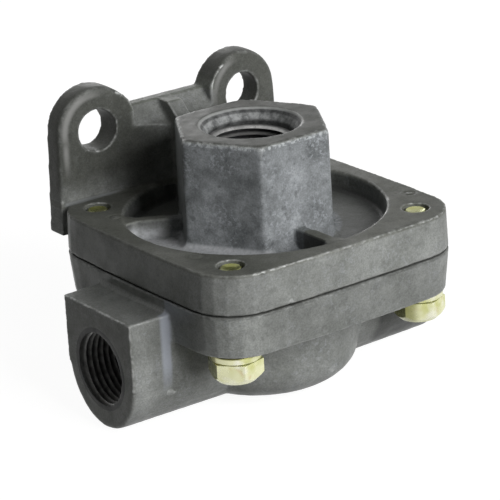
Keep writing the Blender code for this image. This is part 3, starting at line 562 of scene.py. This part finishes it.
rubber, tree, shader = new_finish("black_rubber", 0.0, 0.35)
tree.links.new(ramp(tree, noise(tree, 0.004, 3.0), 0.3, 0.7, (0.016, 0.016, 0.017), (0.034, 0.034, 0.035)),
               shader.inputs["Base Color"])
tree.links.new(ramp(tree, noise(tree, 0.002, 3.0), 0.3, 0.7, 0.55, 0.75), shader.inputs["Roughness"])
bump(tree, shader, noise(tree, 0.0004, 3.0), 0.3, 0.00003)

diaphragm = welded_copy("diaphragm", "diaphragm_rubber")
even_skin(diaphragm, RUBBER_GRAIN, 3)
thin_out(diaphragm, RUBBER_KEPT)
fitted(diaphragm, "diaphragm_assembly", rubber, "black_rubber", "diaphragm")

# Cover seal: a round rubber cord ring in the groove between the castings. The frame's own
# ring has the right shape and stays, in the same rubber.
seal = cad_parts["cover_seal"]
for place in seal.material_slots:
    place.material = rubber

# Cover: the upper casting, a square flange with a round pocket, the hexagonal supply boss
# and the bracket with its two ears. It is cast, tumbled, bored and tapped as the body is.
SUPPLY_CONE_Z = 18.9
SUPPLY_TAPPED_DEPTH = 12.9
HEX_TOP_Z = 21.6
HEX_FLAT_RADIUS = 17.4625
CORNER_RADIUS_FROM = 18.3
HEX_CLEAR_RADIUS = 22.0
CORNER_BAND = 1.5
CORNER_FOOT_Z = -3.5
CORNER_ROUNDS = 26
COVER_HALF = 36.2
EAR_HALF_SPACING = 22.0
EAR_AXIS_Z = 17.1
EAR_RADIUS = 10.9
EAR_FRONT_Y = 33.9
EAR_EDGE_BAND = 2.3
EAR_ARC_FROM = 3.3
EAR_ROUNDS = 80
PIN_MARKS = ((-28.4, 18.4, 1.5), (-29.8, -17.2, 1.9), (33.2, -18.5, 1.3))
PIN_MARK_WIDTH = 0.35
PIN_MARK_DEPTH = 0.16


def off_flats(x, y):
    """How far a place is from the hexagon's middle, measured square to its nearest flat."""
    return max(abs(x * math.cos(math.radians(turn)) + y * math.sin(math.radians(turn)))
               for turn in (30.0, 90.0, 150.0))


# The cover's skin is as the body's, but bluer and more mottled on the hexagon's sides, whose
# paler patches are partly a painted sheen, and darker on the bracket, apart from its web.
# Painted shade darkens the hexagon's rear left side and top, the web's flat top and the
# flange's top. The hexagon's upper edges have pale flecks, worn and partly a painted broken
# highlight; a painted highlight lies on the plate's foot and painted light on the flange's front side.
cover_skin, tree, shader = new_finish("die_cast_cover", 0.0, CAST_SPECULAR)
skin = cast_skin(tree, (0.178, 0.185, 0.174), (0.250, 0.258, 0.247), (0.315, 0.328, 0.340), 0.55, 0.7)
# The hexagon's sides: a bluer skin whose paler patches are partly a painted sheen.
boss_skin_and_sheen = cast_skin(tree, (0.150, 0.160, 0.164), (0.318, 0.334, 0.346), (0.400, 0.420, 0.445), 1.0, 1.2)
radius = off_axis(tree, False)
on_hexagon = stretch(tree, radius, 0.0214, 0.0206)
past_bore = stretch(tree, radius, 0.0165, 0.0170)
boss_sides = both(tree, on_hexagon, along(tree, "Z", -7.0, -6.0), along(tree, "Z", 21.3, 20.9))
skin = blend(tree, "MIX", boss_sides, skin, boss_skin_and_sheen)
web = both(tree, along(tree, "X", -13.5, -11.5), along(tree, "X", 13.5, 11.5), along(tree, "Z", 15.0, 17.0))
# Darker on the bracket, apart from its web.
bracket_darker = both(tree, along(tree, "Y", 30.0, 33.0), along(tree, "Z", 0.0, 7.0, 5.0),
                 stretch(tree, web, 1.0, 0.0))
skin = blend(tree, "MULTIPLY", bracket_darker, skin, (0.41, 0.41, 0.385))
# Painted shade on the web's flat top.
painted_web_top_shade = both(tree, along(tree, "X", -13.5, -12.5), along(tree, "X", 13.5, 12.5),
               along(tree, "Z", 19.9, 20.2), stretch(tree, radius, 0.0250, 0.0260))
skin = blend(tree, "MULTIPLY", painted_web_top_shade, skin, (0.74, 0.76, 0.70))
# Painted shade on the hexagon's rear left side, away from the key light.
painted_rear_left_shade = both(tree, along(tree, "X", -8.5, -9.5), along(tree, "Y", -0.3, 0.7),
                      on_hexagon, past_bore)
skin = blend(tree, "MULTIPLY", painted_rear_left_shade, skin, (0.60, 0.60, 0.58))
# Pale flecks on the hexagon's upper edges: wear, and a painted broken highlight.
flecks_and_glints = both(tree, past_bore, on_hexagon, along(tree, "Z", 20.2, 20.6), along(tree, "Z", 21.4, 21.1),
              ramp(tree, noise(tree, 0.0009, 3.0, 0.6), 0.50, 0.58, 0.0, 0.8))
skin = blend(tree, "MIX", flecks_and_glints, skin, (0.52, 0.55, 0.56))
# Painted shade on the hexagon's top.
painted_hex_top_shade = both(tree, on_hexagon, along(tree, "Z", 21.2, 21.5))
skin = blend(tree, "MULTIPLY", painted_hex_top_shade, skin, (0.38, 0.38, 0.355))
# Painted highlight along the plate's foot fillet.
painted_foot_highlight = both(tree, along(tree, "X", -33.5, -32.0), along(tree, "X", -12.0, -17.0, 4.0),
                  along(tree, "Z", -0.6, -0.1), along(tree, "Z", 0.8, 0.3),
                  along(tree, "Y", 32.6, 33.2), along(tree, "Y", 35.0, 34.5))
skin = blend(tree, "MIX", calculate(tree, "MULTIPLY", painted_foot_highlight, 0.85), skin, (0.42, 0.44, 0.48))
away = stretch(tree, radius, 0.0204, 0.0214)
# Painted shade on the flange's top, deeper at its left and at its front right, beside the hexagon.
painted_flange_top_shade = both(tree, along(tree, "Z", -1.0, -0.3), along(tree, "Z", 1.0, 0.4), away)
skin = blend(tree, "MULTIPLY", painted_flange_top_shade, skin, (0.80, 0.79, 0.74))
painted_left_top_shade = both(tree, painted_flange_top_shade, along(tree, "X", -17.0, -25.0, 3.0))
skin = blend(tree, "MULTIPLY", painted_left_top_shade, skin, (0.68, 0.69, 0.68))
front_right = both(tree, painted_flange_top_shade, along(tree, "X", 2.0, 9.0, 3.0), along(tree, "Y", 0.0, -8.0, 3.0))
skin = blend(tree, "MULTIPLY", front_right, skin, (0.60, 0.61, 0.58))
# Painted light on the flange's front side, which faces the key softbox.
front = both(tree, along(tree, "Y", -35.4, -36.0), along(tree, "X", -26.0, -20.0, 4.0),
             along(tree, "X", 31.0, 24.0, 4.0), along(tree, "Z", -0.2, -0.9))
skin = blend(tree, "MULTIPLY", front, skin, (1.20, 1.20, 1.20))
# Painted shade beside the joint between the castings.
painted_joint_shade = along(tree, "Z", -9.1, -9.7, 0.6)
skin = blend(tree, "MULTIPLY", painted_joint_shade, skin, (0.50, 0.50, 0.49))

# A painted highlight lies along the ears' rounded front edges at their upper left, and along the plate's
# left edge.
sideways = calculate(tree, "ABSOLUTE", tree.nodes["Split"].outputs["X"], 0.0)
across = calculate(tree, "SUBTRACT", sideways, EAR_HALF_SPACING / 1000.0)
ear_height = (EAR_AXIS_Z + COVER_TOP_Z) / 1000.0
upwards = calculate(tree, "SUBTRACT", tree.nodes["Split"].outputs["Z"], ear_height)
from_ear = calculate(tree, "SQRT", calculate(tree, "ADD", calculate(tree, "MULTIPLY", across, across),
                                             calculate(tree, "MULTIPLY", upwards, upwards)), 0.0)
rounded = both(tree, stretch(tree, from_ear, 0.0079, 0.0091), stretch(tree, from_ear, 0.0105, 0.0094),
               along(tree, "Z", 13.0, 18.0), along(tree, "Z", 28.0, 25.0))
left_halves = calculate(tree, "MAXIMUM", along(tree, "X", -19.0, -24.0),
                        both(tree, along(tree, "X", 10.0, 11.0), along(tree, "X", 22.0, 16.0)))
left_edge = both(tree, along(tree, "X", -30.0, -31.2), along(tree, "X", -32.4, -31.4),
                 along(tree, "Z", 5.0, 14.0), along(tree, "Z", 18.0, 13.0))
painted_ear_highlight = calculate(tree, "MAXIMUM", both(tree, rounded, left_halves), left_edge)
painted_ear_highlight = both(tree, painted_ear_highlight, along(tree, "Y", 32.0, 33.0), along(tree, "Y", 36.0, 35.0))
skin = blend(tree, "MIX", calculate(tree, "MULTIPLY", painted_ear_highlight, 0.65), skin, (0.35, 0.35, 0.34))

# In the pocket painted shade darkens the skin, most of all on its wall and the front rib's left
# side and top, but a painted highlight lies on the floor at the front left and on the rib at the left.
pocket = both(tree, stretch(tree, radius, 0.0320, 0.0314), along(tree, "Z", -0.5, -1.2))
# Painted shade in the pocket.
skin = blend(tree, "MULTIPLY", both(tree, pocket, away), skin, (0.72, 0.72, 0.72))
painted_wall_shade = both(tree, pocket, stretch(tree, radius, 0.0298, 0.0308))
skin = blend(tree, "MULTIPLY", painted_wall_shade, skin, (0.50, 0.50, 0.50))
painted_rib_side_shade = both(tree, pocket, along(tree, "X", -2.1, -1.7), along(tree, "X", -0.9, -1.2),
                along(tree, "Y", -17.9, -18.5))
skin = blend(tree, "MULTIPLY", painted_rib_side_shade, skin, (0.42, 0.42, 0.42))
painted_rib_top_shade = both(tree, along(tree, "X", -1.9, -1.2), along(tree, "X", 1.9, 1.2),
               along(tree, "Y", -17.9, -18.5), along(tree, "Y", -31.0, -26.0), along(tree, "Z", -1.2, -0.6))
skin = blend(tree, "MULTIPLY", painted_rib_top_shade, skin, (0.72, 0.73, 0.70))
# Painted highlight on the pocket's floor and on the rib at the left.
painted_floor_highlight = both(tree, pocket, along(tree, "Z", -3.4, -4.3), along(tree, "X", -7.0, -11.0),
             along(tree, "Y", 9.5, 7.5))
painted_rib_highlight = both(tree, pocket, along(tree, "X", -28.6, -28.0), along(tree, "X", -18.0, -23.0, 3.0),
           along(tree, "Y", 5.0, 7.0), along(tree, "Y", 15.0, 13.0), along(tree, "Z", -1.0, -4.0, 2.0))
painted_pocket_highlight = calculate(tree, "MAXIMUM", calculate(tree, "MULTIPLY", painted_floor_highlight, 0.85),
                    calculate(tree, "MULTIPLY", painted_rib_highlight, 0.8))
patchy = ramp(tree, noise(tree, 0.0009, 4.0, 0.7), 0.35, 0.60, 0.55, 1.0)
skin = blend(tree, "MIX", both(tree, painted_pocket_highlight, patchy), skin, (0.56, 0.57, 0.59))

# The supply port's cone is turned, with a painted highlight ring at its mouth, a painted shade ring inside
# it and painted shade down the bore.
turned = both(tree, stretch(tree, radius, 0.0125, 0.0122), along(tree, "Z", 15.0, 17.0))
turned_skin = ramp(tree, noise(tree, 0.0021, 5.0, 0.65), 0.38, 0.62,
                   (0.13, 0.135, 0.135), (0.40, 0.41, 0.41))
# Painted shade ring on the cone.
painted_ring_shade = both(tree, stretch(tree, radius, 0.0113, 0.0116), stretch(tree, radius, 0.0122, 0.0119))
turned_skin = blend(tree, "MULTIPLY", painted_ring_shade, turned_skin, (0.40, 0.40, 0.40))
skin = blend(tree, "MIX", turned, skin, turned_skin)
# Painted highlight ring at the mouth.
painted_ring_highlight = both(tree, stretch(tree, radius, 0.0119, 0.0122), stretch(tree, radius, 0.0128, 0.0125),
                   along(tree, "Z", 20.4, 20.9))
skin = blend(tree, "MIX", calculate(tree, "MULTIPLY", painted_ring_highlight, 0.7), skin, RUBBED_METAL_AND_HIGHLIGHT)
# Painted shade down the bore.
inside = both(tree, stretch(tree, radius, 0.0106, 0.0103), along(tree, "Z", 19.5, 18.6))
skin = blend(tree, "MULTIPLY", inside, skin, (0.25, 0.25, 0.25))

# The edges' wear and painted highlight are fainter in the pocket, at the flange's left, where no light
# falls on them, and beside the joint.
pocket_edges = both(tree, stretch(tree, radius, 0.0325, 0.0310), along(tree, "Z", 0.8, 0.4))
left_edges = both(tree, along(tree, "X", -24.0, -32.0), along(tree, "Z", 1.0, 0.3))
reached = both(tree, stretch(tree, pocket_edges, 1.3, 0.0), stretch(tree, left_edges, 1.6, 0.0),
               stretch(tree, painted_joint_shade, 1.4, 0.0))
cast_relief(tree, shader, skin, reached)

cover = welded_copy("cover", "cover_casting")
bpy.ops.mesh.primitive_cylinder_add(
    vertices=96, radius=THREAD_ROOT / 1000.0, depth=SUPPLY_TAPPED_DEPTH / 1000.0,
    location=spot(0.0, 0.0, SUPPLY_CONE_Z - SUPPLY_TAPPED_DEPTH / 2.0))
shaped_by(cover, bpy.context.object, "DIFFERENCE")
even_skin(cover, CAST_GRAIN, CAST_ROUNDS)
round_off(cover, CORNER_ROUNDS, group_where(
    cover, "corners",
    lambda x, y, z: z > CORNER_FOOT_Z and CORNER_RADIUS_FROM < math.hypot(x, y) < HEX_CLEAR_RADIUS
    and off_flats(x, y) > HEX_FLAT_RADIUS - CORNER_BAND))
round_off(cover, EAR_ROUNDS, group_where(
    cover, "ear_edges",
    lambda x, y, z: y < EAR_FRONT_Y + EAR_EDGE_BAND and y > EAR_FRONT_Y - 1.0 and z > 1.0 and (
        abs(x) > EAR_HALF_SPACING + EAR_RADIUS - EAR_EDGE_BAND or (
            z > EAR_AXIS_Z + EAR_ARC_FROM and
            math.hypot(abs(x) - EAR_HALF_SPACING, z - EAR_AXIS_Z) > EAR_RADIUS - EAR_EDGE_BAND))))
ripple(cover, RIPPLE_SIZE, RIPPLE_HEIGHT)
ripple(cover, BURR_SIZE, BURR_HEIGHT, group_where(
    cover, "burr",
    lambda x, y, z: z > HEX_TOP_Z - BURR_BAND and off_flats(x, y) > HEX_FLAT_RADIUS - BURR_BAND
    and math.hypot(x, y) < HEX_CLEAR_RADIUS))
ripple(cover, BURR_SIZE, BURR_HEIGHT, group_where(
    cover, "rim_burr",
    lambda x, y, z: -BURR_BAND < z < 0.5 and to_outline(x, y, COVER_HALF) < RIM_BAND and y < 30.0))
sink(cover, PIN_MARK_DEPTH, group_where(
    cover, "pin_marks",
    lambda x, y, z: abs(z) < 0.5 and any(
        abs(math.hypot(x - across, y - deep) - size) < PIN_MARK_WIDTH for across, deep, size in PIN_MARKS)))
thin_out(cover, CAST_KEPT)
fitted(cover, "housing", cover_skin, "die_cast_metal", "cover")

# Supply-port thread: the same pipe thread as the delivery ports', below a rough cone. Its
# crest is paler than theirs and the painted shade on its flanks deeper.
SUPPLY_THREAD_TURN = 145.0

supply_metal, tree, shader = new_finish("supply_thread", 0.6, 0.4)
cut_skin = ramp(tree, noise(tree, 0.0016, 3.0), 0.35, 0.65, (0.28, 0.28, 0.274), (0.46, 0.46, 0.452))
# Painted shade towards the thread's root; the crest keeps the plain colour.
crest = stretch(tree, off_axis(tree, False), 0.0099, 0.0091)
cut_skin = blend(tree, "MIX", crest, blend(tree, "MULTIPLY", 1.0, cut_skin, (0.2, 0.2, 0.2)), cut_skin)
tree.links.new(cut_skin, shader.inputs["Base Color"])
tree.links.new(ramp(tree, noise(tree, 0.0012, 3.0), 0.3, 0.7, 0.26, 0.42), shader.inputs["Roughness"])
bump(tree, shader, noise(tree, 0.0003, 3.0), 0.3, 0.00003)

supply_ridge = tapped_ridge("supply_thread", THREAD_ROOT + 0.1)
supply_ridge.rotation_euler = (0.0, math.radians(90.0), math.radians(SUPPLY_THREAD_TURN))
supply_ridge.location = spot(0.0, 0.0, SUPPLY_CONE_Z)
settle(supply_ridge)
fitted(supply_ridge, "housing", supply_metal, "die_cast_metal")

# Lock washers: split rings of square-edged spring steel, zinc plated and yellow passivated,
# one under each screw's head. One is modelled at the origin and copied to the corners.
SCREW_OFFSET = 27.5
WASHER_TOP_Z = -20.8
WASHER_BORE = 3.45
WASHER_RADIUS = 6.1
WASHER_THICKNESS = 1.6
WASHER_SLIT = 0.9
WASHER_SOFTNESS = 0.25
WASHER_LEAD = 40.0
CORNERS = {"front_left": (-1.0, -1.0, 12.0), "front_right": (1.0, -1.0, 22.0),
           "rear_left": (-1.0, 1.0, 25.0), "rear_right": (1.0, 1.0, 51.0)}

# Painted shade darkens the plating in its hollows, on the screws' ends, most of all at the left,
# under the flange and on the right screws' inner sides.
zinc, tree, shader = new_finish("yellow_zinc_steel", 0.55, 0.5)
coat = ramp(tree, noise(tree, 0.0042, 2.0, 0.5), 0.38, 0.62, (0.60, 0.61, 0.27), (0.80, 0.80, 0.51))
pale = ramp(tree, noise(tree, 0.0048, 2.0), 0.55, 0.70, 0.0, 0.7)
coat = blend(tree, "MIX", pale, coat, (0.91, 0.90, 0.79))
blush = ramp(tree, noise(tree, 0.0036, 2.0, 0.5, 0.6), 0.60, 0.74, 0.0, 0.6)
coat = blend(tree, "MIX", blush, coat, (0.62, 0.46, 0.26))
form = tree.nodes.new("ShaderNodeNewGeometry")
# Painted shade in the hollows.
coat = blend(tree, "MULTIPLY", 1.0, coat, ramp(tree, form.outputs["Pointiness"], 0.40, 0.50, 0.30, 1.0))
# Painted shade on the screws' ends in their holes, deeper at the left.
ends = along(tree, "Z", -8.0, -4.0)
coat = blend(tree, "MULTIPLY", ends, coat, (0.62, 0.63, 0.48))
coat = blend(tree, "MULTIPLY", both(tree, ends, along(tree, "X", 12.0, 2.0)), coat, (0.68, 0.69, 0.62))
# Painted shade under the flange.
painted_under_flange_shade = both(tree, along(tree, "Z", -21.3, -20.9), along(tree, "Z", -19.0, -20.0))
coat = blend(tree, "MULTIPLY", painted_under_flange_shade, coat, (0.35, 0.34, 0.20))
# Painted shade on the right screws' inner sides.
painted_inner_side_shade = both(tree, along(tree, "X", 15.0, 20.0), along(tree, "X", 24.6, 22.4),
              along(tree, "Z", -20.0, -23.0))
coat = blend(tree, "MULTIPLY", painted_inner_side_shade, coat, (0.42, 0.42, 0.30))
tree.links.new(coat, shader.inputs["Base Color"])
tree.links.new(ramp(tree, noise(tree, 0.0022, 2.0), 0.3, 0.7, 0.20, 0.30), shader.inputs["Roughness"])
bump(tree, shader, noise(tree, 0.0012, 2.0), 0.15, 0.00004)


def copy_to_corners(model, height, lead, prefix, node_prefix):
    """Copies a piece modelled at the origin to the four screws' places."""
    for corner, (across, deep, turn) in CORNERS.items():
        select_only(model)
        bpy.ops.object.duplicate()
        piece = bpy.context.object
        piece.name = prefix + corner
        piece.rotation_euler = (0.0, 0.0, math.radians(lead + turn))
        piece.location = spot(SCREW_OFFSET * across, SCREW_OFFSET * deep, height)
        settle(piece)
        fitted(piece, "housing", zinc, "yellow_zinc_steel", node_prefix + corner)
    bpy.data.objects.remove(model)


middle_radius = (WASHER_BORE + WASHER_RADIUS) / 2.0
slit_turn = WASHER_SLIT / middle_radius
bpy.ops.mesh.primitive_plane_add(size=0.001, rotation=(math.radians(90.0), 0.0, 0.0))
washer = bpy.context.object
washer.name = "washer_model"
select_only(washer)
bpy.ops.object.transform_apply(location=False, rotation=True, scale=False)
edit_all(washer)
bpy.ops.transform.resize(value=(WASHER_RADIUS - WASHER_BORE, 1.0, WASHER_THICKNESS))
bpy.ops.transform.translate(value=(middle_radius / 1000.0, 0.0, -WASHER_THICKNESS / 2000.0))
bpy.ops.transform.rotate(value=-slit_turn / 2.0, orient_axis="Z", center_override=(0.0, 0.0, 0.0))
bpy.ops.mesh.spin(steps=60, angle=math.tau - slit_turn, center=(0.0, 0.0, 0.0), axis=(0.0, 0.0, 1.0))
bpy.ops.mesh.select_all(action="SELECT")
bpy.ops.mesh.remove_doubles(threshold=WELD)
bpy.ops.mesh.fill_holes(sides=4)
bpy.ops.mesh.select_all(action="SELECT")
bpy.ops.mesh.normals_make_consistent(inside=False)
bpy.ops.object.mode_set(mode="OBJECT")
soft = washer.modifiers.new("soft_edges", "BEVEL")
soft.width = WASHER_SOFTNESS / 1000.0
soft.segments = 3
soft.limit_method = "ANGLE"
soft.angle_limit = math.radians(50.0)
apply_modifiers(washer)
bpy.ops.object.shade_smooth_by_angle(angle=math.radians(40.0))
copy_to_corners(washer, WASHER_TOP_Z, WASHER_LEAD, "split_washer_", "lock_washer_")

# Cap screws: hexagon heads below, cold-headed with a chamfered face, and threaded shanks
# that run up into the cover, where their dished ends show in the four tapped holes.
HEAD_TOP_Z = -22.7
HEAD_ACROSS_FLATS = 11.4
HEAD_HEIGHT = 5.1
HEAD_CHAMFER = 1.9
HEAD_SOFTNESS = 0.8
SHANK_RADIUS = 2.72
SHANK_TOP_Z = -0.5
SHANK_CHAMFER = 0.45
SHANK_DISH_WIDTH = 0.7
SHANK_DISH_DEPTH = 0.35
SCREW_CREST = 3.0
SCREW_PITCH = 1.0
SCREW_THREAD_TURNS = 9
SCREW_THREAD_STEPS = 28
SCREW_THREAD_DROP = 10.2
SCREW_THREAD_OVERLAP = 0.1

head_radius = HEAD_ACROSS_FLATS / math.sqrt(3.0)
bpy.ops.mesh.primitive_cylinder_add(
    vertices=6, radius=head_radius / 1000.0, depth=HEAD_HEIGHT / 1000.0,
    location=(0.0, 0.0, -HEAD_HEIGHT / 2000.0), rotation=(0.0, 0.0, math.radians(30.0)))
screw = bpy.context.object
screw.name = "screw_model"
settle(screw)
bit_radius = head_radius + 0.05
bpy.ops.mesh.primitive_cylinder_add(
    vertices=72, radius=bit_radius / 1000.0, depth=2.0 * HEAD_HEIGHT / 1000.0)
chamfer_bit = bpy.context.object
settle(chamfer_bit)
edit_where(chamfer_bit, lambda place: place.z < 0.0)
bpy.ops.mesh.bevel(offset=HEAD_CHAMFER / 1000.0, segments=1, affect="EDGES")
bpy.ops.object.mode_set(mode="OBJECT")
shaped_by(screw, chamfer_bit, "INTERSECT")
soft = screw.modifiers.new("soft_edges", "BEVEL")
soft.width = HEAD_SOFTNESS / 1000.0
soft.segments = 3
soft.limit_method = "ANGLE"
soft.angle_limit = math.radians(24.0)
apply_modifiers(screw)

shank_length = SHANK_TOP_Z - HEAD_TOP_Z
bpy.ops.mesh.primitive_cylinder_add(
    vertices=36, radius=SHANK_RADIUS / 1000.0, depth=(shank_length + 1.0) / 1000.0,
    location=(0.0, 0.0, (shank_length - 1.0) / 2000.0))
shank = bpy.context.object
settle(shank)
edit_where(shank, lambda place: place.z > 0.0)
bpy.ops.mesh.bevel(offset=SHANK_CHAMFER / 1000.0, segments=1, affect="EDGES")
bpy.ops.object.mode_set(mode="OBJECT")
top = shank_length / 1000.0
edit_where(shank, lambda place: abs(place.z - top) < WELD)
bpy.ops.mesh.inset(thickness=SHANK_DISH_WIDTH / 1000.0)
bpy.ops.transform.translate(value=(0.0, 0.0, -SHANK_DISH_DEPTH / 1000.0))
bpy.ops.mesh.inset(thickness=SHANK_DISH_WIDTH / 1000.0)
bpy.ops.transform.translate(value=(0.0, 0.0, -SHANK_DISH_DEPTH / 3000.0))
bpy.ops.object.mode_set(mode="OBJECT")
shaped_by(screw, shank, "UNION")
thread = thread_ridge("screw_thread", SCREW_THREAD_TURNS, 0.92 * SCREW_PITCH, 0.14 * SCREW_PITCH,
                      SHANK_RADIUS - SCREW_THREAD_OVERLAP, SCREW_CREST, SCREW_PITCH, SCREW_THREAD_STEPS)
thread.rotation_euler = (0.0, math.radians(-90.0), 0.0)
thread.location = (0.0, 0.0, (shank_length - SHANK_CHAMFER - SCREW_THREAD_DROP) / 1000.0)
settle(thread)
select_only(screw, thread)
bpy.ops.object.join()
bpy.ops.object.shade_smooth_by_angle(angle=math.radians(35.0))
copy_to_corners(screw, HEAD_TOP_Z, 0.0, "zinc_screw_", "cap_screw_")

# Table and studio: a white table that keeps the valve's shadow, a large softbox to the
# front, a weak one behind, and a pale room around them.
CAMERA_AZIMUTH = math.radians(-35.64)
CAMERA_ELEVATION = math.radians(20.47)
CAMERA_ROLL = math.radians(-3.08)
CAMERA_DISTANCE = 0.60046
CAMERA_AIM = spot(-2.12, 0.0, -10.5)
LENS_MM = 177.97
AMBIENT = 0.049
TABLE_GLOW = 0.92


def seen_as_white(tree):
    """1 for the rays of the camera, of reflections and of glass, and 0 for the light's."""
    path = tree.nodes.new("ShaderNodeLightPath")
    seen = calculate(tree, "MAXIMUM", path.outputs["Is Camera Ray"], path.outputs["Is Glossy Ray"])
    return calculate(tree, "MAXIMUM", seen, path.outputs["Is Transmission Ray"])


def direction(azimuth, elevation):
    """The unit vector from the valve towards an azimuth and an elevation."""
    return Vector((math.sin(azimuth) * math.cos(elevation),
                   -math.cos(azimuth) * math.cos(elevation), math.sin(elevation)))


bpy.context.scene.view_settings.view_transform = "Standard"
world = bpy.data.worlds.new("white_studio")
bpy.context.scene.world = world
world.use_nodes = True
tree = world.node_tree
tree.nodes.clear()
room = tree.nodes.new("ShaderNodeBackground")
room.inputs["Color"].default_value = (1.0, 1.0, 0.95, 1.0)
room.inputs["Strength"].default_value = AMBIENT
white = tree.nodes.new("ShaderNodeBackground")
white.inputs["Color"].default_value = (1.0, 1.0, 1.0, 1.0)
choose = tree.nodes.new("ShaderNodeMixShader")
output = tree.nodes.new("ShaderNodeOutputWorld")
tree.links.new(seen_as_white(tree), choose.inputs[0])
tree.links.new(room.outputs[0], choose.inputs[1])
tree.links.new(white.outputs[0], choose.inputs[2])
tree.links.new(choose.outputs[0], output.inputs["Surface"])

bpy.ops.mesh.primitive_plane_add(size=4.0, location=(0.0, 0.0, cad_box[0].z - 0.0002))
table = bpy.context.object
table.name = "white_table"
settle(table)
paint, tree, shader = new_finish("white_table", 0.0, 0.2)
shader.inputs["Base Color"].default_value = (0.24, 0.24, 0.24, 1.0)
shader.inputs["Roughness"].default_value = 0.9
glow = tree.nodes.new("ShaderNodeEmission")
tree.links.new(calculate(tree, "MULTIPLY", seen_as_white(tree), TABLE_GLOW), glow.inputs["Strength"])
lit = tree.nodes.new("ShaderNodeAddShader")
tree.links.new(shader.outputs[0], lit.inputs[0])
tree.links.new(glow.outputs[0], lit.inputs[1])
tree.links.new(lit.outputs[0], tree.nodes["Material Output"].inputs["Surface"])
table.data.materials.append(paint)

for name, azimuth, elevation, distance, size, watts in (
        ("key_softbox", 7.0, 22.0, 0.9, 0.6, 8.2),
        ("rear_softbox", 160.0, 10.0, 1.0, 0.5, 2.5)):
    towards = direction(math.radians(azimuth), math.radians(elevation))
    bpy.ops.object.light_add(type="AREA", location=CAMERA_AIM + towards * distance)
    lamp = bpy.context.object
    lamp.name = name
    lamp.data.shape = "SQUARE"
    lamp.data.size = size
    lamp.data.energy = watts
    lamp.rotation_mode = "QUATERNION"
    lamp.rotation_quaternion = (-towards).to_track_quat("-Z", "Y")

towards = direction(CAMERA_AZIMUTH, CAMERA_ELEVATION)
bpy.ops.object.camera_add(location=CAMERA_AIM + towards * CAMERA_DISTANCE)
camera = bpy.context.object
camera.name = "photo_camera"
camera.rotation_mode = "QUATERNION"
level = (-towards).to_track_quat("-Z", "Y")
camera.rotation_quaternion = level @ Matrix.Rotation(CAMERA_ROLL, 3, "Z").to_quaternion()
camera.data.lens = LENS_MM
camera.data.sensor_width = 36.0
camera.data.clip_start = 0.01
camera.data.clip_end = 20.0
bpy.context.scene.camera = camera
